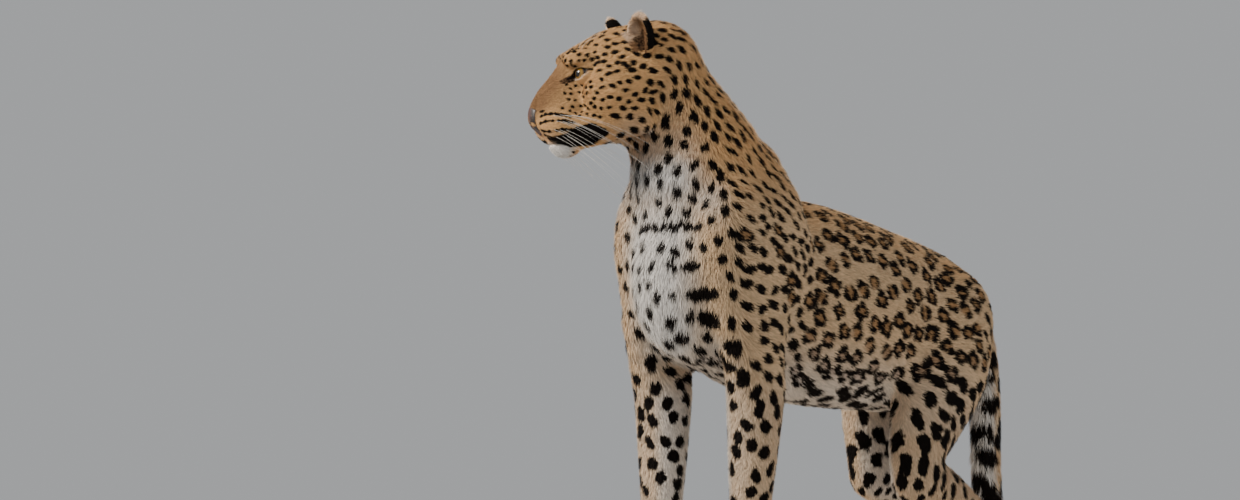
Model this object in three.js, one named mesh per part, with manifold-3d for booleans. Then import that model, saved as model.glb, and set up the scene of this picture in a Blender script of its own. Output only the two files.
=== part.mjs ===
// A leopard standing on four paws, life-size, its head held high and turned to its right.
// The animal faces -Y with its left side towards +X; it stands on the plane z = 0. All sizes are
// millimetres and reach out to the tips of the coat.
//
// The whole animal is one smooth body, described by a distance: limbs are chains of oval
// sections, masses are ellipsoids, and each melts into the ones before it. The body is then given
// a surface and parted by thin straight cuts into head, neck, trunk, legs and tail.

import * as THREE from "three";
import { mergeVertices } from "three/addons/utils/BufferGeometryUtils.js";
import Module from "manifold-3d";

// Gaps and resolution
const GAP = 0.3; // between neighbouring pieces
const TRUNK_CELL = 31; // size of the facets on each part of the body
const NECK_CELL = 27;
const THIGH_CELL = 27;
const SHIN_CELL = 19;
const PAW_CELL = 12.5;
const TAIL_CELL = 20;
const HEAD_CELL = 13.8;
const NOSE_CELL = 8;
const HEAD_REACH = 220; // the whole head lies this near to its middle
const FAR = 120; // shapes further off than this no longer change the surface
const CHECKER_PASSES = 3;
const SIDE_CHANGE = 0.3; // part of its distance that a corner keeps when it changes sides
const SAME_POINT = 1e-4; // corners nearer than this are one corner
const TINY = 1e-9;

// Trunk, from the breast back to the rump: the back line, the underline and half the width
const TRUNK = [
  { y: -335, back: 668, belly: 404, half: 98 },
  { y: -267, back: 668, belly: 385, half: 108 },
  { y: -175, back: 668, belly: 352, half: 115 },
  { y: -92, back: 667, belly: 336, half: 120 },
  { y: 0, back: 651, belly: 326, half: 119 },
  { y: 92, back: 629, belly: 320, half: 112 },
  { y: 184, back: 607, belly: 316, half: 102 },
  { y: 267, back: 581, belly: 335, half: 92 },
  { y: 335, back: 534, belly: 362, half: 74 },
];
const BREAST_CAP = 80; // how far the rounded ends reach past the last sections
const RUMP_CAP = 54;

// Neck, from between the shoulders up to the back of the skull
const NECK = [
  { at: [-2, -292, 600], side: 116, deep: 130 },
  { at: [-8, -310, 690], side: 108, deep: 124 },
  { at: [-18, -331, 758], side: 94, deep: 97 },
  { at: [-26, -355, 815], side: 74, deep: 79 },
  { at: [-37, -382, 866], side: 64, deep: 71 },
];
const NECK_MELT = 45;

// A foreleg, given for the left one: shoulder blade, upper arm, forearm, wrist
const FORELEG = [
  { at: [46, -232, 706], side: 33, deep: 45 },
  { at: [80, -262, 600], side: 48, deep: 98 },
  { at: [88, -308, 510], side: 43, deep: 86 },
  { at: [90, -302, 415], side: 42, deep: 62 },
  { at: [86, -292, 350], side: 46, deep: 50 },
  { at: [81, -292, 260], side: 41, deep: 41 },
  { at: [77, -294, 165], side: 33, deep: 34 },
  { at: [76, -294, 110], side: 32, deep: 32 },
  { at: [77, -303, 58], side: 33, deep: 31 },
];
// The point of the shoulder and the elbow, of the left foreleg too
const SHOULDER_POINT = { at: [86, -352, 606], radii: [44, 58, 86] };
const SHOULDER_MELT = 40;
const ELBOW = { at: [88, -268, 368], radii: [24, 26, 34] };
const ELBOW_MELT = 20;
const FORELEG_MELT = 30;
const FORE_PAW_REACH = 22; // the paw lies this far ahead of the wrist
const RIGHT_FORELEG_AHEAD = 37; // how far the right paw stands ahead of the left
const STAGGER_HEIGHT = 520; // the legs are level again from this height up

// A hind leg: thigh, shin and the long foot, left and right, which is set further back
const HIND_LEGS = {
  left: {
    thigh: [
      { at: [66, 268, 466], side: 46, deep: 80 },
      { at: [80, 226, 400], side: 50, deep: 96 },
      { at: [88, 164, 325], side: 46, deep: 84 },
      { at: [90, 129, 262], side: 40, deep: 61 },
      { at: [90, 126, 216], side: 36, deep: 52 },
    ],
    shin: [
      { at: [90, 138, 214], side: 36, deep: 46 },
      { at: [88, 215, 182], side: 31, deep: 40 },
      { at: [86, 300, 146], side: 23, deep: 26 },
      { at: [86, 345, 129], side: 23, deep: 26 },
    ],
    heel: { at: [86, 362, 132], radii: [17, 20, 22] },
    foot: [
      { at: [86, 345, 126], side: 23, deep: 25 },
      { at: [85, 302, 76], side: 24, deep: 23 },
      { at: [84, 258, 40], side: 28, deep: 23 },
    ],
    paw: [84, 228],
  },
  right: {
    thigh: [
      { at: [-66, 280, 466], side: 46, deep: 88 },
      { at: [-80, 268, 400], side: 50, deep: 92 },
      { at: [-85, 252, 325], side: 46, deep: 82 },
      { at: [-85, 243, 262], side: 40, deep: 62 },
      { at: [-84, 238, 216], side: 36, deep: 50 },
    ],
    shin: [
      { at: [-84, 250, 212], side: 36, deep: 44 },
      { at: [-84, 320, 184], side: 31, deep: 38 },
      { at: [-83, 398, 152], side: 23, deep: 26 },
      { at: [-82, 440, 138], side: 23, deep: 26 },
    ],
    heel: { at: [-82, 457, 141], radii: [17, 20, 22] },
    foot: [
      { at: [-82, 440, 134], side: 23, deep: 25 },
      { at: [-81, 408, 82], side: 24, deep: 23 },
      { at: [-80, 370, 40], side: 28, deep: 23 },
    ],
    paw: [-80, 340],
  },
};
const THIGH_MELT = 34;
const SHIN_MELT = 16;
const FOOT_MELT = 10;
const HEEL_MELT = 14;

// Paws
const FORE_PAW = { width: 41, length: 46, height: 30, rise: 25 };
const HIND_PAW = { width: 36, length: 44, height: 27, rise: 23 };
const TOE_RADII = [11.5, 24, 15];
const TOE_RISE = 13;
const TOES = [-1.5, -0.5, 0.5, 1.5];
const TOE_PITCH = 19.5;
const OUTER_TOE_SET_BACK = 11;
const TOE_REACH = 33; // ahead of the middle of the paw
const TOE_MELT = 7;
const PAW_MELT = 14;

// Tail: hangs behind the hind legs and sweeps back just above the floor
const TAIL = [
  { at: [0, 346, 486], side: 34, deep: 36 },
  { at: [0, 390, 466], side: 32, deep: 33 },
  { at: [0, 425, 420], side: 30, deep: 30 },
  { at: [0, 441, 330], side: 29, deep: 29 },
  { at: [0, 444, 220], side: 28, deep: 28 },
  { at: [0, 454, 142], side: 27, deep: 27 },
  { at: [0, 478, 86], side: 26, deep: 26 },
  { at: [0, 535, 56], side: 25, deep: 25 },
  { at: [0, 602, 52], side: 24, deep: 24 },
  { at: [0, 664, 70], side: 21, deep: 21 },
  { at: [0, 706, 102], side: 14, deep: 14 },
];
const TAIL_MELT = 22;

// The head has its own frame: u forward along the face, v to the animal's left, w up
const HEAD_AT = [-46, -416, 869];
const HEAD_TURN = 38; // degrees to the right of the way the body faces
const HEAD_ROLL = 4; // degrees, left side up
const HEAD_MELT = 16;
const HEAD_TO_NECK_MELT = 40;

// Masses of the head in its own frame; each one with a v is there on both sides
const HEAD_MASSES = [
  { at: [20, 0, 2], radii: [92, 56, 66] }, // brain case and forehead
  { at: [-28, 0, 12], radii: [55, 52, 57] }, // back of the skull
  { at: [50, 36, -44], radii: [52, 33, 54] }, // cheek
  { at: [104, 23, 14], radii: [27, 18, 17] }, // brow over the eye
  { at: [118, 0, -62], radii: [52, 33, 44] }, // muzzle
  { at: [137, 19, -89], radii: [31, 23, 26] }, // whisker pad
  { at: [123, 0, -117], radii: [26, 23, 25] }, // chin
  { at: [166, 0, -79], radii: [14, 17, 17] }, // nose
];
const NOSE_BRIDGE = [
  { at: [92, 0, 2], side: 27, deep: 35 },
  { at: [122, 0, -28], side: 21, deep: 29 },
  { at: [152, 0, -62], side: 17, deep: 22 },
];
const JAW = [
  { at: [112, 14, -112], side: 15, deep: 19 },
  { at: [72, 27, -98], side: 19, deep: 23 },
  { at: [26, 38, -78], side: 26, deep: 34 },
];
const LIP = [
  { at: [138, 27, -98], side: 14, deep: 17 },
  { at: [108, 33, -94], side: 12, deep: 18 },
  { at: [74, 37, -88], side: 12, deep: 18 },
];

// Eyes, nose, mouth and ears, all in the frame of the head
const EYE_RADIUS = 15.5;
const EYE_AT = [95, 27, -11];
const EYE_LOOK = 30; // degrees outward from straight ahead
const EYE_SLANT = 18; // degrees, outer corner up
const LID_THICKNESS = 3.2;
const LID_OPENING = [26, 14];
const NOSTRIL = { at: [174, 10, -88], radii: [9, 4.2, 3.2], turn: 40 }; // turn in degrees
const NOSE_PAD = { at: [172, 0, -84], size: [30, 36, 31], tilt: -32 }; // tilt in degrees
const MOUTH_CORNER = 66;
const MOUTH_FRONT_DROP = -116; // height of the mouth line at the lips, and at its corner
const MOUTH_CORNER_DROP = -107;
const MOUTH_DEPTH = 6;
const MOUTH_GAPE = 2;
const MOUTH_FRONT = 190; // well ahead of the lips
const MOUTH_WIDTH = 160;
const MOUTH_SAG = { ahead: 8, rise: 1 }; // of the middle of the bend
const MOUTH_SEGMENTS = 6;
const LID_SEGMENTS = 8;
const EYE_FACETS = [16, 10];
const NOSTRIL_FACETS = [10, 6];
const EAR_FACETS = [18, 12];
const LID_RUN = 60; // length of the prism that opens the lids
const EAR = {
  at: { left: [11, 47, 22], right: [23, 47, 28] }, // its root in the skull
  radii: [22, 27, 42], // towards the opening, across, along the ear
  wall: 5,
  rim: 5, // how far past its middle the cup reaches
  centre: 24, // height of the middle of the cup above its root
  opens: 24, // degrees outward from straight ahead
  leansOut: 19, // degrees
  leansAhead: { left: 8, right: 16 }, // degrees; the right ear is pricked
  hollowAhead: 8, // how far the hollow lies ahead of the egg
};

// Cuts between the parts, each a box by its low and high corners
const LOINS_BOX = { low: [-400, -20, 250], high: [400, 185, 900] };
const UPPER_ARM_BOX = { low: [48, -480, 345], high: [260, -195, 640] };
const FOREARM_BOX = { low: [18, -480, 122], high: [260, -195, 500] };
const FORE_PAW_BOX = { low: [18, -480, 0], high: [260, -195, 122] };
const THIGH_BOX = { low: [44, 20, 100], high: [260, 405, 480] };
const TAIL_BOX = { low: [-46, 396, 0], high: [46, 900, 600] };
const TAIL_MIDDLE_BOX = { low: [-46, 380, 0], high: [46, 900, 330] };
const TAIL_SWEEP_BOX = { low: [-46, 380, 0], high: [46, 900, 150] };
const TAIL_TIP_BOX = { low: [-46, 590, 0], high: [46, 900, 150] };
const HEAD_CUT = { at: [-26, 0, -45], tilt: 24 };
const NECK_CUT = { at: [0, -310, 680], tilt: 32 };
const KNEE_CUT = 22; // the shin starts this far behind the knee, and
const KNEE_RISE = 12; // this far above it
const HOCK_CUT = 22; // the foot starts this far below the hock
const PAW_ROOM = 90; // ahead of the middle of a paw
const FLOOR_DEPTH = 30;
const CUT_SIZE = 1600;
const CUP_SPACE = 150; // room ahead of the rim of an ear

// Spaces in which each part is given its surface, a little wider than the part itself
const CHEST_SPACE = { low: [-170, -470, 300], high: [170, 20, 800] };
const LOINS_SPACE = { low: [-170, -60, 270], high: [170, 230, 720] };
const RUMP_SPACE = { low: [-170, 150, 270], high: [170, 480, 680] };
const NECK_SPACE = { low: [-190, -480, 520], high: [150, -120, 990] };
const UPPER_ARM_SPACE = { low: [10, -463, 306], high: [170, -150, 690] };
const FOREARM_SPACE = { low: [10, -400, 90], high: [170, -180, 380] };
const FORE_PAW_SPACE = { low: [10, -440, -30], high: [170, -220, 140] };
const HIND_SPACE = { inner: 8, outer: 170, behind: 80, below: 96, above: 60 };
const TAIL_SPACE = { low: [-52, 380, 0], high: [52, 760, 560] };
const HEAD_SPACE = { low: [-250, -590, 690], high: [80, -300, 990] };
const NOSE_SPACE = { low: [-230, -570, 760], high: [-120, -480, 840] };

// Colours of the coat, nose and eyes
const COAT = new THREE.MeshStandardMaterial({ color: 0xc59a63, roughness: 0.85, metalness: 0 });
const PALE_COAT = new THREE.MeshStandardMaterial({ color: 0xd8c8a8, roughness: 0.9, metalness: 0 });
const NOSE_LEATHER = new THREE.MeshStandardMaterial({ color: 0x7a4a40, roughness: 0.45, metalness: 0 });
const EYE = new THREE.MeshStandardMaterial({ color: 0xb98a2e, roughness: 0.08, metalness: 0 });

const wasm = await Module();
wasm.setup();

// Turning from the frame of the head to that of the body and back
const headForward = new THREE.Vector3(0, -1, 0);
headForward.applyAxisAngle(new THREE.Vector3(0, 0, 1), THREE.MathUtils.degToRad(-HEAD_TURN));
const headUp = new THREE.Vector3(0, 0, 1);
headUp.applyAxisAngle(headForward, THREE.MathUtils.degToRad(HEAD_ROLL));
const headLeft = new THREE.Vector3().crossVectors(headUp, headForward);
const headFrame = new THREE.Matrix4().makeBasis(headForward, headLeft, headUp);
headFrame.setPosition(...HEAD_AT);
const intoHead = headFrame.clone().invert().elements;

function inHeadFrame(x, y, z) {
  const m = intoHead;
  return [
    m[0] * x + m[4] * y + m[8] * z + m[12],
    m[1] * x + m[5] * y + m[9] * z + m[13],
    m[2] * x + m[6] * y + m[10] * z + m[14],
  ];
}

// Two distances joined so that the shapes melt together over the given width
function melt(a, b, width) {
  const overlap = Math.max(width - Math.abs(a - b), 0) / width;
  return Math.min(a, b) - (overlap * overlap * width) / 4;
}

// About the distance from a point to an ellipsoid
function ellipsoid(x, y, z, mass) {
  const [cx, cy, cz] = mass.at;
  const [rx, ry, rz] = mass.radii;
  const px = (x - cx) / rx;
  const py = (y - cy) / ry;
  const pz = (z - cz) / rz;
  const reach = Math.hypot(px, py, pz);
  const slope = Math.hypot(px / rx, py / ry, pz / rz);
  return slope < TINY ? -Math.min(rx, ry, rz) : (reach * (reach - 1)) / slope;
}

// A smooth curve through evenly spaced values
function curveThrough(values, place) {
  const last = values.length - 1;
  const i = Math.min(Math.floor(place), last - 1);
  const t = place - i;
  const p1 = values[i];
  const p2 = values[i + 1];
  const p0 = i > 0 ? values[i - 1] : 2 * p1 - p2;
  const p3 = i < last - 1 ? values[i + 2] : 2 * p2 - p1;
  const bend = 2 * p0 - 5 * p1 + 4 * p2 - p3 + (3 * p1 - p0 - 3 * p2 + p3) * t;
  return p1 + 0.5 * t * (p2 - p0 + t * bend);
}

// A chain of oval sections made finer, ready to measure distances from. Side is the half width
// along the first or second axis of the frame, deep the half width square to that.
function chain(sections, { across = 0, steps = 3, startCap = 0, endCap = 0 } = {}) {
  const count = (sections.length - 1) * steps;
  const columns = [0, 1, 2].map((axis) => sections.map((section) => section.at[axis]));
  columns.push(sections.map((section) => section.side), sections.map((section) => section.deep));
  const rings = [];
  for (let i = 0; i <= count; i += 1) {
    rings.push(columns.map((values) => curveThrough(values, i / steps)));
  }
  const links = [];
  for (let i = 0; i < count; i += 1) {
    const [a, b] = [rings[i], rings[i + 1]];
    const run = [b[0] - a[0], b[1] - a[1], b[2] - a[2]];
    const length = Math.hypot(...run);
    links.push({
      a,
      run,
      length,
      grow: [b[3] - a[3], b[4] - a[4]],
      startSquash: i === 0 && startCap ? a[4] / startCap : 1,
      endSquash: i === count - 1 && endCap ? b[4] / endCap : 1,
    });
  }
  return { across, links };
}

// About the distance from a point to a chain of oval sections
function limb(x, y, z, { across, links }) {
  let nearest = Infinity;
  for (const { a, run, length, grow, startSquash, endSquash } of links) {
    const d = [x - a[0], y - a[1], z - a[2]];
    const along = (d[0] * run[0] + d[1] * run[1] + d[2] * run[2]) / (length * length);
    const t = Math.min(Math.max(along, 0), 1);
    const past = (along - t) * length;
    const offset = [d[0] - run[0] * t, d[1] - run[1] * t, d[2] - run[2] * t];
    const wide = offset[across];
    const squash = past < 0 ? startSquash : endSquash;
    const square = offset[0] ** 2 + offset[1] ** 2 + offset[2] ** 2 - wide * wide;
    const deep = Math.sqrt(Math.max(square + past * past * (squash * squash - 1), 0));
    const halfSide = a[3] + grow[0] * t;
    const halfDeep = a[4] + grow[1] * t;
    const reach = Math.hypot(wide / halfSide, deep / halfDeep);
    const slope = Math.hypot(wide / halfSide ** 2, deep / halfDeep ** 2);
    const distance = slope < TINY ? -Math.min(halfSide, halfDeep) : (reach * (reach - 1)) / slope;
    nearest = Math.min(nearest, distance);
  }
  return nearest;
}

// How far a part of the right foreleg stands ahead, by its height
const stagger = (z) => RIGHT_FORELEG_AHEAD * Math.min(Math.max(1.2 - z / STAGGER_HEIGHT, 0), 1);
const aheadOnTheRight = (part) => ({
  ...part,
  at: [-part.at[0], part.at[1] - stagger(part.at[2]), part.at[2]],
});

function pawMasses([x, y], size) {
  const radii = [size.width, size.length, size.height];
  const masses = [{ at: [x, y, size.rise], radii, melt: PAW_MELT }];
  for (const toe of TOES) {
    const back = Math.abs(toe) > 1 ? OUTER_TOE_SET_BACK : 0;
    masses.push({
      at: [x + (toe * TOE_PITCH * size.width) / FORE_PAW.width, y - TOE_REACH + back, TOE_RISE],
      radii: TOE_RADII,
      melt: TOE_MELT,
    });
  }
  return masses;
}

// All limbs and masses of the body below the head, in the order in which they melt together
const trunk = chain(
  TRUNK.map(({ y, back, belly, half }) => ({
    at: [0, y, (back + belly) / 2],
    side: half,
    deep: (back - belly) / 2,
  })),
  { startCap: BREAST_CAP, endCap: RUMP_CAP },
);
const rightForeleg = FORELEG.map(aheadOnTheRight);
const lastOf = (sections) => sections[sections.length - 1].at;
const forePaws = {
  left: [lastOf(FORELEG)[0], lastOf(FORELEG)[1] - FORE_PAW_REACH],
  right: [lastOf(rightForeleg)[0], lastOf(rightForeleg)[1] - FORE_PAW_REACH],
};
const limbs = [
  { chain: chain(NECK), melt: NECK_MELT },
  { chain: chain(FORELEG), melt: FORELEG_MELT },
  { chain: chain(rightForeleg), melt: FORELEG_MELT },
  { chain: chain(TAIL), melt: TAIL_MELT },
];
const masses = [
  { ...SHOULDER_POINT, melt: SHOULDER_MELT },
  { ...aheadOnTheRight(SHOULDER_POINT), melt: SHOULDER_MELT },
  { ...ELBOW, melt: ELBOW_MELT },
  { ...aheadOnTheRight(ELBOW), melt: ELBOW_MELT },
  ...pawMasses(forePaws.left, FORE_PAW),
  ...pawMasses(forePaws.right, FORE_PAW),
];
for (const leg of Object.values(HIND_LEGS)) {
  limbs.push({ chain: chain(leg.thigh), melt: THIGH_MELT });
  limbs.push({ chain: chain(leg.shin), melt: SHIN_MELT });
  limbs.push({ chain: chain(leg.foot), melt: FOOT_MELT });
  masses.push({ ...leg.heel, melt: HEEL_MELT });
  masses.push(...pawMasses(leg.paw, HIND_PAW));
}

const noseBridge = chain(NOSE_BRIDGE, { across: 1 });
const jaw = chain(JAW, { across: 1 });
const lip = chain(LIP, { across: 1 });

function headDistance(x, y, z) {
  const [u, v, w] = inHeadFrame(x, y, z);
  const side = Math.abs(v);
  let distance = ellipsoid(u, v, w, HEAD_MASSES[0]);
  for (const mass of HEAD_MASSES.slice(1)) {
    distance = melt(distance, ellipsoid(u, mass.at[1] ? side : v, w, mass), HEAD_MELT);
  }
  distance = melt(distance, limb(u, v, w, noseBridge), HEAD_MELT);
  distance = melt(distance, limb(u, side, w, jaw), HEAD_MELT);
  return melt(distance, limb(u, side, w, lip), HEAD_MELT);
}


function bodyDistance(x, y, z) {
  let distance = limb(x, y, z, trunk);
  for (const part of limbs) {
    distance = melt(distance, limb(x, y, z, part.chain), part.melt);
  }
  for (const mass of masses) {
    distance = melt(distance, ellipsoid(x, y, z, mass), mass.melt);
  }
  const [hx, hy, hz] = HEAD_AT;
  if (Math.hypot(x - hx, y - hy, z - hz) < HEAD_REACH + FAR) {
    distance = melt(distance, headDistance(x, y, z), HEAD_TO_NECK_MELT);
  }
  return distance;
}

// Where the four corners of a grid square are in and out by turns, the surface would touch
// itself along a line, so the corner nearest to the surface changes sides
function settleCheckers(value, [nx, ny, nz]) {
  const strides = [1, nx, nx * ny];
  for (let pass = 0; pass < CHECKER_PASSES; pass += 1) {
    for (let here = 0; here < nx * ny * (nz - 1) - nx - 1; here += 1) {
      for (let axis = 0; axis < 3; axis += 1) {
        const p = strides[axis];
        const q = strides[(axis + 1) % 3];
        const square = [here, here + p, here + p + q, here + q];
        const [a, b, c, d] = square.map((corner) => value[corner] < 0);
        if (a !== c || b !== d || a === b) continue;
        const nearest = square.reduce((m, n) => (Math.abs(value[n]) < Math.abs(value[m]) ? n : m));
        value[nearest] *= -SIDE_CHANGE;
      }
    }
  }
}

// The closed surface where a distance reaches the given level, inside a box of cells
function surfaceOf(distanceAt, low, high, cell, level = 0) {
  const count = low.map((from, axis) => Math.ceil((high[axis] - from) / cell) + 1);
  const [nx, ny, nz] = count;
  const index = (i, j, k) => i + nx * (j + ny * k);
  const value = new Float64Array(nx * ny * nz);
  for (let k = 0; k < nz; k += 1) {
    for (let j = 0; j < ny; j += 1) {
      for (let i = 0; i < nx; i += 1) {
        const edge = i === 0 || j === 0 || k === 0 || i === nx - 1 || j === ny - 1 || k === nz - 1;
        const here = distanceAt(low[0] + i * cell, low[1] + j * cell, low[2] + k * cell) - level;
        value[index(i, j, k)] = edge ? Math.max(here, cell / 4) : here;
      }
    }
  }
  settleCheckers(value, count);
  const positions = [];
  const vertexOf = new Int32Array(nx * ny * nz).fill(-1);
  const corners = [0, 1, 2, 3, 4, 5, 6, 7].map((c) => [c & 1, (c >> 1) & 1, (c >> 2) & 1]);
  for (let k = 0; k < nz - 1; k += 1) {
    for (let j = 0; j < ny - 1; j += 1) {
      for (let i = 0; i < nx - 1; i += 1) {
        const at = corners.map(([a, b, c]) => value[index(i + a, j + b, k + c)]);
        const inside = at.filter((v) => v < 0).length;
        if (inside === 0 || inside === 8) continue;
        const sum = [0, 0, 0];
        let crossings = 0;
        for (let c = 0; c < 8; c += 1) {
          for (const step of [1, 2, 4]) {
            const d = c | step;
            if (d === c || at[c] < 0 === at[d] < 0) continue;
            const t = at[c] / (at[c] - at[d]);
            for (let axis = 0; axis < 3; axis += 1) {
              sum[axis] += corners[c][axis] + t * (corners[d][axis] - corners[c][axis]);
            }
            crossings += 1;
          }
        }
        vertexOf[index(i, j, k)] = positions.length / 3;
        positions.push(
          low[0] + (i + sum[0] / crossings) * cell,
          low[1] + (j + sum[1] / crossings) * cell,
          low[2] + (k + sum[2] / crossings) * cell,
        );
      }
    }
  }
  const faces = [];
  const diagonals = new Set(); // each one splits no more than one square
  const diagonalKey = (a, b) => `${Math.min(a, b)} ${Math.max(a, b)}`;
  const steps = [index(1, 0, 0), index(0, 1, 0), index(0, 0, 1)];
  const apart = (a, b) =>
    Math.hypot(...[0, 1, 2].map((axis) => positions[3 * a + axis] - positions[3 * b + axis]));
  for (let k = 0; k < nz - 1; k += 1) {
    for (let j = 0; j < ny - 1; j += 1) {
      for (let i = 0; i < nx - 1; i += 1) {
        const here = index(i, j, k);
        const at = [i, j, k];
        for (let axis = 0; axis < 3; axis += 1) {
          if (at[(axis + 1) % 3] === 0 || at[(axis + 2) % 3] === 0) continue;
          const there = here + steps[axis];
          const inward = value[here] < 0;
          if (inward === value[there] < 0) continue;
          const p = steps[(axis + 1) % 3];
          const q = steps[(axis + 2) % 3];
          const ring = [here - p - q, here - q, here, here - p].map((c) => vertexOf[c]);
          if (!inward) ring.reverse();
          const [a, b, c, d] = ring;
          const short = apart(a, c) < apart(b, d);
          const first = short ? [a, c] : [b, d];
          const alongAC = diagonals.has(diagonalKey(...first)) ? !short : short;
          diagonals.add(alongAC ? diagonalKey(a, c) : diagonalKey(b, d));
          if (alongAC) faces.push(a, b, c, a, c, d);
          else faces.push(a, b, d, b, c, d);
        }
      }
    }
  }
  return new wasm.Manifold(
    new wasm.Mesh({
      numProp: 3,
      vertProperties: new Float32Array(positions),
      triVerts: new Uint32Array(faces),
    }),
  );
}

// A solid from a closed geometry, placed by a matrix
function solidOf(geometry, matrix = new THREE.Matrix4()) {
  const bare = geometry.clone();
  bare.deleteAttribute("normal");
  bare.deleteAttribute("uv");
  bare.applyMatrix4(matrix);
  const merged = mergeVertices(bare, SAME_POINT);
  return new wasm.Manifold(
    new wasm.Mesh({
      numProp: 3,
      vertProperties: new Float32Array(merged.attributes.position.array),
      triVerts: new Uint32Array(merged.index.array),
    }),
  );
}

// A box solid, and the same box a gap larger, to cut the neighbours with
function boxSolid({ low, high }, grow = 0) {
  const size = low.map((from, axis) => high[axis] - from + 2 * grow);
  const middle = low.map((from, axis) => (from + high[axis]) / 2);
  const matrix = new THREE.Matrix4().makeTranslation(...middle);
  return solidOf(new THREE.BoxGeometry(...size), matrix);
}

// All space ahead of the cut between head and neck, and all space above that under the neck
function beyondCut(frameMatrix, at, turn, grow = 0) {
  const matrix = frameMatrix.clone();
  matrix.multiply(new THREE.Matrix4().makeTranslation(...at));
  matrix.multiply(turn);
  matrix.multiply(new THREE.Matrix4().makeTranslation(0, 0, CUT_SIZE / 2 - grow));
  return solidOf(new THREE.BoxGeometry(CUT_SIZE, CUT_SIZE, CUT_SIZE), matrix);
}
const degrees = THREE.MathUtils.degToRad;
const headTurn = new THREE.Matrix4().makeRotationY(degrees(90 - HEAD_CUT.tilt));
const headSpace = (grow) => beyondCut(headFrame, HEAD_CUT.at, headTurn, grow);
const neckTurn = new THREE.Matrix4().makeRotationX(degrees(NECK_CUT.tilt));
const neckSpace = (grow) => beyondCut(new THREE.Matrix4(), NECK_CUT.at, neckTurn, grow);

const mirrorBox = ({ low, high }) => ({
  low: [-high[0], low[1], low[2]],
  high: [-low[0], high[1], high[2]],
});

// The largest closed piece of a solid
function largest(solid) {
  return solid.decompose().reduce((best, piece) => (piece.volume() > best.volume() ? piece : best));
}

// Flesh of the body between two corners, with facets of the given size
const flesh = ({ low, high }, cell, level = 0) => surfaceOf(bodyDistance, low, high, cell, level);

function cutAway(solid, ...cutters) {
  return cutters.reduce((rest, cutter) => rest.subtract(cutter), solid);
}

const animal = new THREE.Group();
animal.name = "leopard";

function addPart(name, solid, material) {
  const mesh = largest(solid).getMesh();
  const geometry = new THREE.BufferGeometry();
  geometry.setAttribute("position", new THREE.BufferAttribute(new Float32Array(mesh.vertProperties), 3));
  geometry.setIndex(new THREE.BufferAttribute(new Uint32Array(mesh.triVerts), 1));
  geometry.computeVertexNormals();
  const part = new THREE.Mesh(geometry, material);
  part.name = name;
  animal.add(part);
}

// Trunk and neck
const neckAndHead = neckSpace(GAP);
const forelegBoxes = [UPPER_ARM_BOX, FOREARM_BOX].flatMap((box) => [box, mirrorBox(box)]);
const thighBoxes = [THIGH_BOX, mirrorBox(THIGH_BOX)];
const grown = (boxes) => boxes.map((box) => boxSolid(box, GAP));
addPart(
  "chest",
  cutAway(
    flesh(CHEST_SPACE, TRUNK_CELL),
    neckAndHead,
    boxSolid(LOINS_BOX, GAP),
    ...grown(forelegBoxes),
  ),
  COAT,
);
addPart(
  "loins",
  cutAway(
    flesh(LOINS_SPACE, TRUNK_CELL).intersect(boxSolid(LOINS_BOX)),
    ...grown(thighBoxes),
  ),
  COAT,
);
addPart(
  "rump",
  cutAway(
    flesh(RUMP_SPACE, TRUNK_CELL),
    boxSolid(LOINS_BOX, GAP),
    boxSolid(TAIL_BOX, GAP),
    ...grown(thighBoxes),
  ),
  COAT,
);
addPart(
  "neck",
  cutAway(
    flesh(NECK_SPACE, NECK_CELL).intersect(neckSpace(0)),
    headSpace(GAP),
  ),
  COAT,
);

// Forelegs
for (const [side, flip] of [["left", (box) => box], ["right", mirrorBox]]) {
  const upperArm = flip(UPPER_ARM_BOX);
  const forearm = flip(FOREARM_BOX);
  const paw = flip(FORE_PAW_BOX);
  addPart(
    `foreleg_${side}_upper`,
    cutAway(
      flesh(flip(UPPER_ARM_SPACE), THIGH_CELL).intersect(boxSolid(upperArm)),
      neckAndHead,
    ),
    COAT,
  );
  addPart(
    `foreleg_${side}_forearm`,
    cutAway(
      flesh(flip(FOREARM_SPACE), SHIN_CELL).intersect(boxSolid(forearm)),
      boxSolid(upperArm, GAP),
    ),
    COAT,
  );
  addPart(
    `foreleg_${side}_paw`,
    cutAway(
      flesh(flip(FORE_PAW_SPACE), PAW_CELL).intersect(boxSolid(paw)),
      boxSolid(forearm, GAP),
    ),
    PALE_COAT,
  );
}

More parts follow.
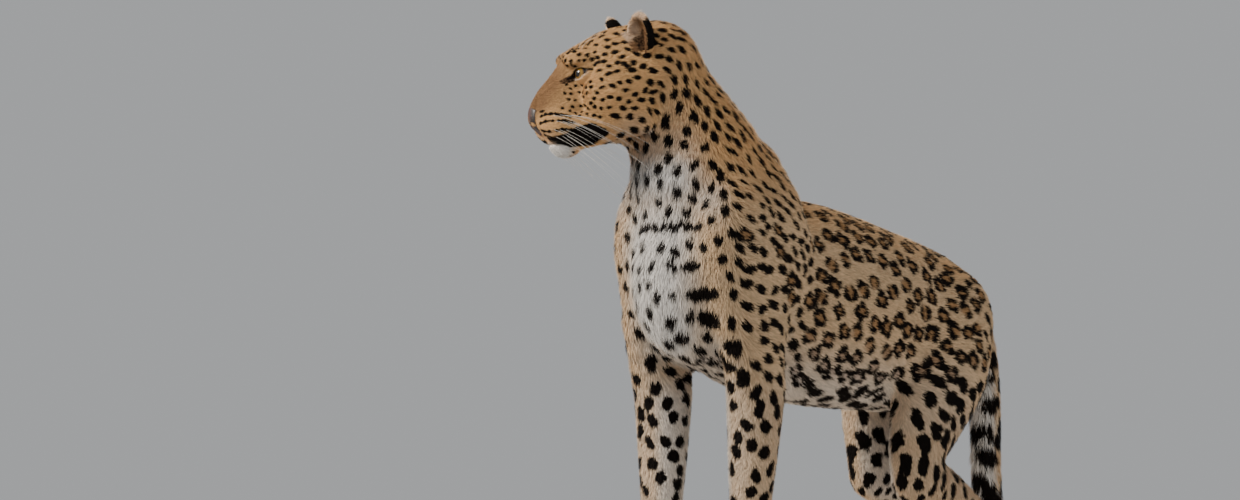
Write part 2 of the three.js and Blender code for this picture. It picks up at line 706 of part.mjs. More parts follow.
// Hind legs: boxes along the floor part the shin, and below it the foot, from the thigh
for (const [side, leg] of Object.entries(HIND_LEGS)) {
  const flip = side === "left" ? (box) => box : mirrorBox;
  const knee = leg.shin[0].at;
  const hock = leg.foot[0].at;
  const { inner, outer, behind, below, above } = HIND_SPACE;
  const shinBox = flip({
    low: [inner, knee[1] + KNEE_CUT, -FLOOR_DEPTH],
    high: [outer, hock[1] + behind, knee[2] + KNEE_RISE],
  });
  const footBox = flip({
    low: [inner, leg.paw[1] - PAW_ROOM, 0],
    high: [outer, hock[1] + behind, hock[2] - HOCK_CUT],
  });
  const thighSpace = flip({ low: [inner, 0, knee[2] - below], high: [outer, 440, 520] });
  const shinSpace = flip({
    low: [inner, knee[1] - above, hock[2] - above],
    high: [outer, hock[1] + behind, knee[2] + above],
  });
  const footSpace = flip({
    low: [inner, leg.paw[1] - PAW_ROOM, -FLOOR_DEPTH],
    high: [outer, hock[1] + behind, hock[2]],
  });
  const thighBox = flip(THIGH_BOX);
  addPart(
    `hindleg_${side}_thigh`,
    cutAway(
      flesh(thighSpace, THIGH_CELL).intersect(boxSolid(thighBox)),
      boxSolid(shinBox, GAP),
      boxSolid(footBox, GAP),
    ),
    COAT,
  );
  addPart(
    `hindleg_${side}_shin`,
    cutAway(flesh(shinSpace, SHIN_CELL).intersect(boxSolid(shinBox)), boxSolid(footBox, GAP)),
    COAT,
  );
  addPart(
    `hindleg_${side}_foot`,
    flesh(footSpace, PAW_CELL).intersect(boxSolid(footBox)),
    PALE_COAT,
  );
}

// Tail
const tailFlesh = flesh(TAIL_SPACE, TAIL_CELL);
addPart(
  "tail_root",
  cutAway(tailFlesh.intersect(boxSolid(TAIL_BOX)), boxSolid(TAIL_MIDDLE_BOX, GAP)),
  COAT,
);
addPart(
  "tail_middle",
  cutAway(tailFlesh.intersect(boxSolid(TAIL_MIDDLE_BOX)), boxSolid(TAIL_SWEEP_BOX, GAP)),
  COAT,
);
addPart(
  "tail_sweep",
  cutAway(tailFlesh.intersect(boxSolid(TAIL_SWEEP_BOX)), boxSolid(TAIL_TIP_BOX, GAP)),
  COAT,
);
addPart("tail_tip", tailFlesh.intersect(boxSolid(TAIL_TIP_BOX)), COAT);

// Head: lids round the eyes, the line of the mouth and the place of the nose are cut in
let head = flesh(HEAD_SPACE, HEAD_CELL).intersect(headSpace(0));

function eyeMatrix(side) {
  const [u, v, w] = EYE_AT;
  const matrix = headFrame.clone();
  matrix.multiply(new THREE.Matrix4().makeTranslation(u, side * v, w));
  matrix.multiply(new THREE.Matrix4().makeRotationZ(degrees(side * EYE_LOOK)));
  return matrix.multiply(new THREE.Matrix4().makeRotationX(degrees(side * EYE_SLANT)));
}

// The opening of the lids, an almond drawn square to the line of sight and run out along it
function lidOpening(side) {
  const [width, height] = LID_OPENING;
  const almond = new THREE.Shape();
  almond.moveTo(-width / 2, 0);
  almond.quadraticCurveTo(0, height, width / 2, 0);
  almond.quadraticCurveTo(0, -height, -width / 2, 0);
  const prism = new THREE.ExtrudeGeometry(almond, {
    depth: LID_RUN,
    bevelEnabled: false,
    curveSegments: LID_SEGMENTS,
  });
  const alongSight = new THREE.Matrix4().makeBasis(
    new THREE.Vector3(0, 1, 0),
    new THREE.Vector3(0, 0, 1),
    new THREE.Vector3(1, 0, 0),
  );
  return solidOf(prism, eyeMatrix(side).multiply(alongSight));
}

const ball = (radius) => new THREE.SphereGeometry(radius, ...EYE_FACETS);
for (const side of [1, -1]) {
  head = head
    .add(solidOf(ball(EYE_RADIUS + LID_THICKNESS), eyeMatrix(side)))
    .subtract(solidOf(ball(EYE_RADIUS + GAP), eyeMatrix(side)))
    .subtract(lidOpening(side));
  const name = side > 0 ? "eye_left" : "eye_right";
  addPart(name, solidOf(ball(EYE_RADIUS), eyeMatrix(side)), EYE);
}

// The slit between the lips: a thin bent plate that goes a little way into the head
function mouthPlate() {
  const profile = new THREE.Shape();
  const half = MOUTH_GAPE / 2;
  const middle = (MOUTH_CORNER + MOUTH_FRONT) / 2 + MOUTH_SAG.ahead;
  const sag = MOUTH_FRONT_DROP + MOUTH_SAG.rise;
  profile.moveTo(MOUTH_CORNER, MOUTH_CORNER_DROP + half);
  profile.quadraticCurveTo(middle, sag + half, MOUTH_FRONT, MOUTH_FRONT_DROP + half);
  profile.lineTo(MOUTH_FRONT, MOUTH_FRONT_DROP - half);
  profile.quadraticCurveTo(middle, sag - half, MOUTH_CORNER, MOUTH_CORNER_DROP - half);
  const plate = new THREE.ExtrudeGeometry(profile, {
    depth: MOUTH_WIDTH,
    bevelEnabled: false,
    curveSegments: MOUTH_SEGMENTS,
  });
  const acrossHead = new THREE.Matrix4().makeBasis(
    new THREE.Vector3(1, 0, 0),
    new THREE.Vector3(0, 0, 1),
    new THREE.Vector3(0, -1, 0),
  );
  acrossHead.setPosition(0, MOUTH_WIDTH / 2, 0);
  return solidOf(plate, headFrame.clone().multiply(acrossHead));
}
const headCore = flesh(HEAD_SPACE, HEAD_CELL, -MOUTH_DEPTH);
head = head.subtract(mouthPlate().subtract(headCore));

// Nose leather with its two nostrils
function nosePad(grow = 0) {
  const matrix = headFrame.clone();
  matrix.multiply(new THREE.Matrix4().makeTranslation(...NOSE_PAD.at));
  matrix.multiply(new THREE.Matrix4().makeRotationY(degrees(NOSE_PAD.tilt)));
  return solidOf(new THREE.BoxGeometry(...NOSE_PAD.size.map((size) => size + 2 * grow)), matrix);
}
let nose = flesh(NOSE_SPACE, NOSE_CELL).intersect(nosePad());
for (const side of [1, -1]) {
  const [u, v, w] = NOSTRIL.at;
  const matrix = headFrame.clone();
  matrix.multiply(new THREE.Matrix4().makeTranslation(u, side * v, w));
  matrix.multiply(new THREE.Matrix4().makeRotationZ(degrees(side * NOSTRIL.turn)));
  matrix.multiply(new THREE.Matrix4().makeScale(...NOSTRIL.radii));
  nose = nose.subtract(solidOf(new THREE.SphereGeometry(1, ...NOSTRIL_FACETS), matrix));
}
addPart("nose", nose, NOSE_LEATHER);
addPart("head", head.subtract(nosePad(GAP)), COAT);

// Ears: half an egg, hollowed from the front, its root cut to the skull
function earMatrix(side) {
  const [u, v, w] = side > 0 ? EAR.at.left : EAR.at.right;
  const matrix = headFrame.clone();
  matrix.multiply(new THREE.Matrix4().makeTranslation(u, side * v, w));
  matrix.multiply(new THREE.Matrix4().makeRotationX(degrees(-side * EAR.leansOut)));
  const lean = side > 0 ? EAR.leansAhead.left : EAR.leansAhead.right;
  matrix.multiply(new THREE.Matrix4().makeRotationY(degrees(lean)));
  return matrix.multiply(new THREE.Matrix4().makeRotationZ(degrees(side * EAR.opens)));
}

const egg = () => new THREE.SphereGeometry(1, ...EAR_FACETS);
const skull = flesh(HEAD_SPACE, HEAD_CELL, GAP);
for (const side of [1, -1]) {
  const [depth, width, height] = EAR.radii;
  const placed = (x, z, scale) => {
    const matrix = earMatrix(side).multiply(new THREE.Matrix4().makeTranslation(x, 0, z));
    return matrix.multiply(new THREE.Matrix4().makeScale(...scale));
  };
  const outer = solidOf(egg(), placed(0, EAR.centre, EAR.radii));
  const hollow = [depth + 1, width - EAR.wall, height - EAR.wall];
  const inner = solidOf(egg(), placed(EAR.hollowAhead, EAR.centre, hollow));
  const front = new THREE.BoxGeometry(CUP_SPACE, CUP_SPACE, CUP_SPACE);
  const ahead = solidOf(front, placed(EAR.rim + CUP_SPACE / 2, EAR.centre, [1, 1, 1]));
  const ear = cutAway(outer, inner, ahead, skull);
  addPart(side > 0 ? "ear_left" : "ear_right", ear, COAT);
}

// The origin is on the floor, under the middle of the whole animal
const bounds = new THREE.Box3().setFromObject(animal);
const middle = bounds.getCenter(new THREE.Vector3());
animal.position.set(-middle.x, -middle.y, 0);
animal.updateMatrixWorld(true);

export default animal;
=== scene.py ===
# %% [markdown]
# # A leopard with a coat of fur, life-size
# The solids give the animal its outline, out to the tips of the coat. This script makes what they
# leave out: the living surface. The skin comes from the same smooth body as the solids, only finer
# and a coat's depth further in, and over it lies the fur, tuft by tuft.

# %% Load the frame
import math

import bpy
import numpy as np
from mathutils import Matrix, Vector, kdtree


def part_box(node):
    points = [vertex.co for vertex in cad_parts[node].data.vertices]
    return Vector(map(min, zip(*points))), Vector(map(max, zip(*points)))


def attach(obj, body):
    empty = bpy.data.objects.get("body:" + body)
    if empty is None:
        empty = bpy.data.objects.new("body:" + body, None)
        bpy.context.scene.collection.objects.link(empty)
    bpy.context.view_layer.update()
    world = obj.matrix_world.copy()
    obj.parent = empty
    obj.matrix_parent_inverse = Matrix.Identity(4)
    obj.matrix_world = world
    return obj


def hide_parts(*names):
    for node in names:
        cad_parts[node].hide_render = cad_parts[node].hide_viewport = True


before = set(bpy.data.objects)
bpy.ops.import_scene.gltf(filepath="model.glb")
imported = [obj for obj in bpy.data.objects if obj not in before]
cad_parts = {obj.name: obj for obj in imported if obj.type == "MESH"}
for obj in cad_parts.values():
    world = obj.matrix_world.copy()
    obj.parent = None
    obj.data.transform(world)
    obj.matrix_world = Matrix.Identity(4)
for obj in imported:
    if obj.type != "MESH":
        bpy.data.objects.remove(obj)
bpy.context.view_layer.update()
rng = np.random.default_rng(7)
MM = 0.001
print("nodes", len(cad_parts))

# %% [markdown]
# ## Where things are
# The body is measured in millimetres from its own middle line: +X is the animal's left, -Y is
# ahead. The frame puts the origin under the middle of the solids. The left eye is a ball whose
# place is known in both, so the difference of the two is the shift between them.

# %% The frame of the head and the shift
HEAD_AT = np.array([-46.0, -416.0, 869.0])  # inside the skull, between the ears and the eyes
HEAD_TURN = math.radians(38)
HEAD_ROLL = math.radians(4)
EYE_AT = np.array([95.0, 27.0, -11.0])
EYE_RADIUS = 15.5

turned = Matrix.Rotation(-HEAD_TURN, 3, "Z")
head_forward = turned @ Vector((0, -1, 0))
head_up = Matrix.Rotation(HEAD_ROLL, 3, head_forward) @ Vector((0, 0, 1))
head_left = head_up.cross(head_forward)
HEAD_AXES = np.array([head_forward, head_left, head_up])


def to_head(points):
    """Points of the body in the frame of the head: forward, left, up."""
    return (points - HEAD_AT) @ HEAD_AXES.T


def from_head(points):
    """Points of the head in the frame of the body."""
    return np.asarray(points) @ HEAD_AXES + HEAD_AT


eye_low, eye_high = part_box("eye_left")
eye_middle = np.array((eye_low + eye_high) / 2) / MM
SHIFT = eye_middle - from_head(EYE_AT)
SHIFT[2] = 0.0  # the floor is at zero in both
print("shift", np.round(SHIFT, 2))

# %% [markdown]
# ## The body as a distance
# A body of flesh has no edges, so it is described by how far any point is from its surface. Limbs
# are chains of oval sections and masses are ellipsoids. Each melts into the ones before it, which
# gives the soft hollows where a leg joins the trunk. The sizes are those of the solids.

# %% Sizes of the trunk, neck and tail
TRUNK = [  # place along the body, height of the back and of the belly, half width
    (-335, 668, 404, 98), (-267, 668, 385, 108), (-175, 668, 352, 115), (-92, 667, 336, 120),
    (0, 651, 326, 119), (92, 629, 320, 112), (184, 607, 316, 102), (267, 581, 335, 92),
    (335, 534, 362, 74),
]
BREAST_CAP = 80  # how far the trunk rounds out past its first section, and past its last
RUMP_CAP = 54
NECK = [  # middle of the section, half width, half depth, here and in all limbs
    (-2, -292, 600, 116, 130), (-8, -310, 690, 108, 124), (-18, -331, 758, 94, 97),
    (-26, -355, 815, 74, 79), (-37, -382, 866, 64, 71),
]
TAIL = [
    (0, 346, 486, 34, 36), (0, 390, 466, 32, 33), (0, 425, 420, 30, 30), (0, 441, 330, 29, 29),
    (0, 444, 220, 28, 28), (0, 454, 142, 27, 27), (0, 478, 86, 26, 26), (0, 535, 56, 25, 25),
    (0, 602, 52, 24, 24), (0, 664, 70, 21, 21), (0, 706, 102, 14, 14),
]
print("sections", len(TRUNK), len(NECK), len(TAIL))

# %% Sizes of the legs
FORELEG = [
    (46, -232, 706, 33, 45), (80, -262, 600, 48, 98), (88, -308, 510, 43, 86),
    (90, -302, 415, 42, 62), (86, -292, 350, 46, 50), (81, -292, 260, 41, 41),
    (77, -294, 165, 33, 34), (76, -294, 110, 32, 32), (77, -303, 58, 33, 31),
]
# middle of a mass, half sizes
SHOULDER_POINT = ((86, -352, 606), (44, 58, 86))
ELBOW = ((88, -268, 368), (24, 26, 34))
RIGHT_AHEAD = 37  # the right fore paw stands this much ahead of the left
STAGGER_HEIGHT = 520
THIGHS = {
    "left": [(66, 268, 466, 46, 80), (80, 226, 400, 50, 96), (88, 164, 325, 46, 84),
             (90, 129, 262, 40, 61), (90, 126, 216, 36, 52)],
    "right": [(-66, 280, 466, 46, 88), (-80, 268, 400, 50, 92), (-85, 252, 325, 46, 82),
              (-85, 243, 262, 40, 62), (-84, 238, 216, 36, 50)],
}
SHINS = {
    "left": [(90, 138, 214, 36, 46), (88, 215, 182, 31, 40), (86, 300, 146, 23, 26),
             (86, 345, 129, 23, 26)],
    "right": [(-84, 250, 212, 36, 44), (-84, 320, 184, 31, 38), (-83, 398, 152, 23, 26),
              (-82, 440, 138, 23, 26)],
}
FEET = {
    "left": [(86, 345, 126, 23, 25), (85, 302, 76, 24, 23), (84, 258, 40, 28, 23)],
    "right": [(-82, 440, 134, 23, 25), (-81, 408, 82, 24, 23), (-80, 370, 40, 28, 23)],
}
HEELS = {"left": ((86, 362, 132), (17, 20, 22)), "right": ((-82, 457, 141), (17, 20, 22))}
HIND_PAWS = {"left": (84, 228), "right": (-80, 340)}
FORE_PAW_AHEAD = 22
FORE_PAW = (41, 46, 30, 25)  # half width, half length, half height, height of the middle
HIND_PAW = (36, 44, 27, 23)
TOES = (-1.5, -0.5, 0.5, 1.5)
TOE_RADII = (11.5, 24, 15)
TOE_HEIGHT = 13
TOE_PITCH = 19.5
TOES_AHEAD = 33
OUTER_TOE_BACK = 11
print("sections of a foreleg", len(FORELEG))


# %% Chains of oval sections
def curve_through(values, places):
    """A smooth curve through evenly spaced values."""
    values = np.asarray(values, float)
    last = len(values) - 1
    i = np.minimum(places.astype(int), last - 1)
    t = (places - i)[:, None]
    p1, p2 = values[i], values[i + 1]
    p0 = np.where((i > 0)[:, None], values[np.maximum(i - 1, 0)], 2 * p1 - p2)
    p3 = np.where((i < last - 1)[:, None], values[np.minimum(i + 2, last)], 2 * p2 - p1)
    bend = 2 * p0 - 5 * p1 + 4 * p2 - p3 + (3 * p1 - p0 - 3 * p2 + p3) * t
    return p1 + 0.5 * t * (p2 - p0 + t * bend)


class Chain:
    """A limb: oval sections along a curve. Across is the axis that the side width lies on."""

    def __init__(self, sections, melt, across=0, start_cap=0, end_cap=0, steps=3):
        count = (len(sections) - 1) * steps
        self.rings = curve_through(sections, np.arange(count + 1) / steps)
        self.melt = melt
        self.across = across
        self.start_cap = start_cap
        self.end_cap = end_cap
        reach = self.rings[:, 3:].max()
        self.low = self.rings[:, :3].min(0) - reach
        self.high = self.rings[:, :3].max(0) + reach

    def distance(self, points):
        """About the distance to the surface of the limb, below zero inside it."""
        nearest = np.full(len(points), 1e9, np.float32)
        last = len(self.rings) - 2
        for i, (a, b) in enumerate(zip(self.rings[:-1], self.rings[1:])):
            run = b[:3] - a[:3]
            length = np.linalg.norm(run)
            d = points - a[:3].astype(np.float32)
            along = d @ (run / length**2).astype(np.float32)
            t = np.clip(along, 0, 1)
            past = (along - t) * length
            offset = d - t[:, None] * run.astype(np.float32)
            wide = offset[:, self.across]
            squash = 1.0
            if i == 0 and self.start_cap:
                squash = np.where(past < 0, a[4] / self.start_cap, squash)
            if i == last and self.end_cap:
                squash = np.where(past > 0, b[4] / self.end_cap, squash)
            square = (offset**2).sum(1) - wide**2 + past**2 * (squash**2 - 1)
            deep = np.sqrt(np.maximum(square, 0))
            side = a[3] + (b[3] - a[3]) * t
            depth = a[4] + (b[4] - a[4]) * t
            reach = np.hypot(wide / side, deep / depth)
            slope = np.hypot(wide / side**2, deep / depth**2)
            nearest = np.minimum(nearest, reach * (reach - 1) / np.maximum(slope, 1e-6))
        return nearest


# %% Masses, and how they melt together
class Mass:
    """An ellipsoid of flesh."""

    def __init__(self, at, radii, melt):
        self.at = np.array(at, np.float32)
        self.radii = np.array(radii, np.float32)
        self.melt = melt
        self.low = self.at - self.radii
        self.high = self.at + self.radii

    def distance(self, points):
        p = (points - self.at) / self.radii
        reach = np.sqrt((p**2).sum(1))
        slope = np.sqrt(((p / self.radii) ** 2).sum(1))
        return reach * (reach - 1) / np.maximum(slope, 1e-6)


def melt(a, b, width):
    """Two distances joined so that the shapes melt together over the given width."""
    overlap = np.maximum(width - np.abs(a - b), 0) / width
    return np.minimum(a, b) - overlap * overlap * width / 4


def ahead_on_the_right(section):
    """A section of the left foreleg as it stands in the right one, whose paw is further ahead."""
    x, y, z, *rest = section
    stagger = RIGHT_AHEAD * min(max(1.2 - z / STAGGER_HEIGHT, 0), 1)
    return (-x, y - stagger, z, *rest)


def toe_places(at, width):
    """The middles of four toes, seen from above. The outer two stand further back."""
    places = []
    for toe in TOES:
        back = OUTER_TOE_BACK if abs(toe) > 1 else 0
        x = at[0] + toe * TOE_PITCH * width / FORE_PAW[0]
        places.append((x, at[1] - TOES_AHEAD + back))
    return places


def paw(at, size):
    """The pad of a paw and its four toes."""
    width, length, height, rise = size
    masses = [Mass((at[0], at[1], rise), (width, length, height), 14)]
    for x, y in toe_places(at, width):
        masses.append(Mass((x, y, TOE_HEIGHT), TOE_RADII, 7))
    return masses


# %% All parts of the body, each with the width over which it melts into the rest
right_foreleg = [ahead_on_the_right(section) for section in FORELEG]
FORE_PAWS = {"left": (FORELEG[-1][0], FORELEG[-1][1] - FORE_PAW_AHEAD),
             "right": (right_foreleg[-1][0], right_foreleg[-1][1] - FORE_PAW_AHEAD)}
trunk = Chain([(0, y, (back + belly) / 2, half, (back - belly) / 2)
               for y, back, belly, half in TRUNK], 0, start_cap=BREAST_CAP, end_cap=RUMP_CAP)
parts = [trunk, Chain(NECK, 45), Chain(FORELEG, 30), Chain(right_foreleg, 30), Chain(TAIL, 22)]
late_parts = [Mass(*SHOULDER_POINT, 40),
              Mass(ahead_on_the_right(SHOULDER_POINT[0]), SHOULDER_POINT[1], 40),
              Mass(*ELBOW, 20), Mass(ahead_on_the_right(ELBOW[0]), ELBOW[1], 20)]
late_parts += paw(FORE_PAWS["left"], FORE_PAW) + paw(FORE_PAWS["right"], FORE_PAW)
for which in ("left", "right"):
    parts += [Chain(THIGHS[which], 34), Chain(SHINS[which], 16), Chain(FEET[which], 10)]
    late_parts += [Mass(*HEELS[which], 14)] + paw(HIND_PAWS[which], HIND_PAW)
parts += late_parts
print("parts of the body", len(parts))

# %% [markdown]
# ## The head
# A leopard's head is a short deep wedge: a broad brain case, strong cheeks, a straight steep bridge
# and square whisker pads over a small chin. It is made of masses again, in the frame of the head,
# and those with a place to one side are there twice.

# %% Masses of the head
HEAD_MASSES = [
    ((20, 0, 2), (92, 56, 66)),  # brain case and forehead
    ((-28, 0, 12), (55, 52, 57)),  # back of the skull
    ((50, 36, -44), (52, 33, 54)),  # cheek
    ((104, 23, 14), (27, 18, 17)),  # brow over the eye
    ((118, 0, -62), (52, 33, 44)),  # muzzle
    ((137, 19, -89), (31, 23, 26)),  # whisker pad
    ((123, 0, -117), (26, 23, 25)),  # chin
    ((166, 0, -79), (14, 17, 17)),  # nose
]
NOSE_BRIDGE = [(92, 0, 2, 27, 35), (122, 0, -28, 21, 29), (152, 0, -62, 17, 22)]
JAW = [(112, 14, -112, 15, 19), (72, 27, -98, 19, 23), (26, 38, -78, 26, 34)]
LIP = [(138, 27, -98, 14, 17), (108, 33, -94, 12, 18), (74, 37, -88, 12, 18)]
HEAD_MELT = 16
# with each goes whether the head has it on both sides
head_masses = [(Mass(at, radii, HEAD_MELT), at[1] != 0) for at, radii in HEAD_MASSES]
head_chains = [(Chain(NOSE_BRIDGE, HEAD_MELT, across=1), False),
               (Chain(JAW, HEAD_MELT, across=1), True),
               (Chain(LIP, HEAD_MELT, across=1), True)]
print("parts of the head", len(head_masses) + len(head_chains))

# %% Lids and mouth
EYE_LOOK = math.radians(30)  # each eye looks this much outward
EYE_SLANT = math.radians(18)
LID = 3.4
LID_OPENING = (26.0, 10.5)
BROW_RIDGE = Mass((111, 30, 6), (14, 13, 5), 9)
MOUTH_CORNER = 64.0
MOUTH_GROOVE = 4.0
LIP_PARTING = 2.5


def mouth_line(u):
    """Height of the line of the mouth along the head."""
    t = np.clip((u - MOUTH_CORNER) / 100, 0, 1.2)
    return -107 - 18 * t * (1.2 - t) - 8 * t


def eye_coordinates(uvw):
    """Points seen from the eye: along the line of sight, along the slit, square to it."""
    side = np.abs(uvw[:, 1])
    d = np.stack([uvw[:, 0], side, uvw[:, 2]], 1) - EYE_AT
    sight = np.array([math.cos(EYE_LOOK), math.sin(EYE_LOOK), 0])
    outward = np.array([-math.sin(EYE_LOOK), math.cos(EYE_LOOK), 0])
    slit = outward * math.cos(EYE_SLANT) + np.array([0, 0, math.sin(EYE_SLANT)])
    over = np.cross(sight, slit)
    return d @ sight, d @ slit, d @ over


def almond(uvw):
    """Signed distance to the opening between the lids, run out along the line of sight."""
    sight, slit, over = eye_coordinates(uvw)
    width, height = LID_OPENING
    lens = height / 2 * (1 - (2 * slit / width) ** 2)
    return np.maximum(np.abs(over) - lens, 4 - sight)


# %% Distance to the head and to the whole animal
HEAD_REACH = 250
HEAD_INTO_NECK = 40


def head_distance(points, detail):
    """Distance to the head. The detail is its lids, its mouth and the parting of its lip."""
    uvw = to_head(points).astype(np.float32)
    folded = uvw * 1.0
    folded[:, 1] = np.abs(folded[:, 1])
    distance = None
    for shape, paired in head_masses + head_chains:
        here = shape.distance(folded if paired else uvw)
        distance = here if distance is None else melt(distance, here, HEAD_MELT)
    if not detail:
        return distance
    ball = np.linalg.norm(folded - EYE_AT, axis=1) - EYE_RADIUS - LID
    distance = melt(distance, ball, 5)
    distance = melt(distance, BROW_RIDGE.distance(folded), BROW_RIDGE.melt)
    distance = np.maximum(distance, -almond(uvw))
    line = (uvw[:, 2] - mouth_line(uvw[:, 0])) / 2.2
    along = np.clip((uvw[:, 0] - MOUTH_CORNER) / 8, 0, 1)
    distance = distance + MOUTH_GROOVE * along * np.exp(-line * line)
    parting = np.exp(-((uvw[:, 1] / 1.8) ** 2)) * (uvw[:, 0] > 150) * (uvw[:, 2] < -88)
    return distance + LIP_PARTING * parting * (uvw[:, 2] > -116)


def body_distance(points, near, detail):
    """About the distance from each point to the surface of the animal, of the parts near it."""
    distance = None
    for part in near:
        here = part.distance(points)
        distance = here if distance is None else melt(distance, here, part.melt)
    away = np.linalg.norm(points - HEAD_AT, axis=1)
    close = np.nonzero(away < HEAD_REACH)[0]
    if len(close):
        head = head_distance(points[close], detail)
        distance[close] = melt(distance[close], head, HEAD_INTO_NECK)
    return distance


# %% [markdown]
# ## Depth and lie of the coat
# The coat is short on the face and paws, longer on the back and longest on the throat, breast and
# belly. It lies from the nose towards the tail and down the legs. Both are written as functions of
# the place, so skin, markings and tufts all ask the same question and get the same answer.


# %% Regions of the body
def ramp(value, low, high):
    """0 below low, 1 above high, smooth in between."""
    t = np.clip((value - low) / (high - low), 0, 1)
    return t * t * (3 - 2 * t)


HEAD_PLANE = np.array([0.914, 0.0, 0.407])  # the back of the head, in its own frame
HEAD_PLANE_AT = np.array([-26.0, 0.0, -45.0])


def ahead_of_neck(points):
    """How far points lie ahead of the cut between head and neck."""
    return (to_head(points) - HEAD_PLANE_AT) @ HEAD_PLANE


def headness(points):
    """1 on the head, 0 behind the cut between head and neck."""
    return ramp(ahead_of_neck(points), -25, 45)


def legness(points):
    """1 on the lower legs, 0 on the trunk."""
    z, y = points[:, 2], points[:, 1]
    fore = ramp(-z, -420, -330) * (y < -150)
    hind = ramp(-z, -400, -250) * (y > 20) * (np.abs(points[:, 0]) > 35)
    return np.maximum(fore, hind)


def tailness(points):
    """1 on the tail."""
    return ramp(points[:, 1], 400, 425) * (np.abs(points[:, 0]) < 40)


# %% Where the coat is white
def underness(points, normals):
    """Up to 1 on the belly, breast, throat and inner sides of the legs, where white hair grows."""
    x, y, z = points.T
    side = np.sign(x)
    head = headness(points)
    below = 0.65 * ramp(-normals[:, 2], 0.15, 0.85) * ramp(z, 240, 300) * (1 - head)
    ahead = -normals[:, 1]
    middle = 1 - ramp(np.abs(x + 6), 30, 96)
    breast = ramp(ahead, 0.25, 0.8) * middle * ramp(-y, 290, 350) * ramp(z, 350, 420)
    breast = breast * (1 - 0.45 * ramp(z, 600, 700) - 0.45 * ramp(z, 700, 800)) * (1 - head)
    low_flank = ramp(-z, -440, -350) * ramp(z, 250, 300) * (1 - ramp(np.abs(y - 10), 150, 300))
    legs = legness(points)
    inner = np.maximum(-normals[:, 0] * side, 0.3 * ahead * ramp(-y, 130, 190))
    inner = 0.75 * ramp(inner, 0.0, 0.8) * legs
    outer = 0.12 * legs + 0.3 * ramp(-z, -150, -60)
    u, _, w = to_head(points).T
    chin = ramp(-w, 112, 124) * ramp(u, 104, 122) * head
    lips = 0.1 * ramp(-w, 92, 108) * ramp(u, 130, 156) * head
    cheek = 0.3 * ramp(-w, 60, 110) * (1 - ramp(u, 20, 70)) * head
    throat = ramp(-w, 112, 165) * ramp(-y, 330, 420) * ramp(z, 600, 700)
    throat = throat * ramp(-normals[:, 1] - 0.5 * normals[:, 0], 0.0, 0.7)
    tail_front = tailness(points) * ramp(ahead, -0.1, 0.6)
    parts_of_it = [below, breast, 0.2 * low_flank, inner, outer, chin, lips, cheek, throat,
                   tail_front]
    return np.clip(np.max(parts_of_it, 0), 0, 1)


# %% Depth of the coat
BACK_DEPTH = 6.0
WHITE_DEPTH = 10.0
HEAD_DEPTH = 3.0
LEG_DEPTH = 4.0
MUZZLE_LESS = 1.4
PAW_DEPTH = 2.5
PAW_TOP = 70


def muzzleness(points):
    """1 on the muzzle."""
    return ramp(to_head(points)[:, 0], 80, 140) * headness(points)


def coat_depth(points, normals):
    """How far the skin lies below the tips of the coat, in millimetres."""
    head = headness(points)
    legs = legness(points)
    under = underness(points, normals)
    depth = BACK_DEPTH + (WHITE_DEPTH - BACK_DEPTH) * under * (1 - legs)
    depth = depth * (1 - head) + HEAD_DEPTH * head
    depth = depth * (1 - legs) + LEG_DEPTH * legs
    depth = depth - MUZZLE_LESS * muzzleness(points)
    return np.where(points[:, 2] < PAW_TOP, PAW_DEPTH, depth)


# %% Lie of the coat
tail_path = Chain(TAIL, 0).rings[:, :3]


def lie(points, normals):
    """The way the hair points at each place, along the skin. A region is blended in at a time."""
    x, y, z = points.T
    side = np.sign(x)
    ones = np.ones_like(x)
    body = np.stack([0.06 * side, ones, -0.42 * ones], 1)
    leg = np.stack([0 * ones, 0.12 * ones, -ones], 1)
    legs = legness(points)[:, None]
    way = body * (1 - legs) + leg * legs
    neck = ramp(z, 600, 740)[:, None] * (y < -120)[:, None]
    down_neck = np.stack([0.12 * ones, 0.42 * ones, -0.9 * ones], 1)
    way = way * (1 - neck) + down_neck * neck
    front = (ramp(-normals[:, 1], 0.2, 0.8) * ramp(-y, 250, 330) * (z > 330))[:, None]
    down_breast = np.stack([-0.1 * side, 0 * ones, -ones], 1)
    way = way * (1 - front) + down_breast * front
    u, v, w = to_head(points).T
    sideways = 0.35 * np.sign(v) * ramp(np.abs(v), 4, 40)
    lift = np.where(w > -20, 0.55, -0.12) * ramp(u, 60, 150)
    face = np.stack([-ones, sideways, lift], 1) @ HEAD_AXES
    head = headness(points)[:, None]
    way = way * (1 - head) + face * head
    tails = np.nonzero(tailness(points) > 0.5)[0]
    if len(tails):
        gap = np.linalg.norm(points[tails, None] - tail_path[None], axis=2)
        nearest = np.minimum(gap.argmin(1), len(tail_path) - 2)
        way[tails] = tail_path[nearest + 1] - tail_path[nearest]
    way = way - (way * normals).sum(1)[:, None] * normals
    return way / np.maximum(np.linalg.norm(way, axis=1), 1e-6)[:, None]


print("depth of the coat from", HEAD_DEPTH - MUZZLE_LESS, "to", WHITE_DEPTH, "mm")

# %% [markdown]
# ## The skin
# The distance is measured on a grid, only near the surface, and a net of squares is drawn through
# the cells where it changes sign. The head gets a finer grid than the body. Each corner of the net
# is then pulled onto the true surface, so the grid leaves no steps.


# %% Distance at many points
def gradient(points, measure, step=0.8):
    """The way in which the measure grows fastest, which is out of the skin."""
    slope = np.empty_like(points)
    for axis in range(3):
        ahead = points.copy()
        ahead[:, axis] += step
        back = points.copy()
        back[:, axis] -= step
        slope[:, axis] = measure(ahead) - measure(back)
    return slope / np.maximum(np.linalg.norm(slope, axis=1), 1e-9)[:, None]


BLOCK = 96.0
BLOCK_REACH = 75.0


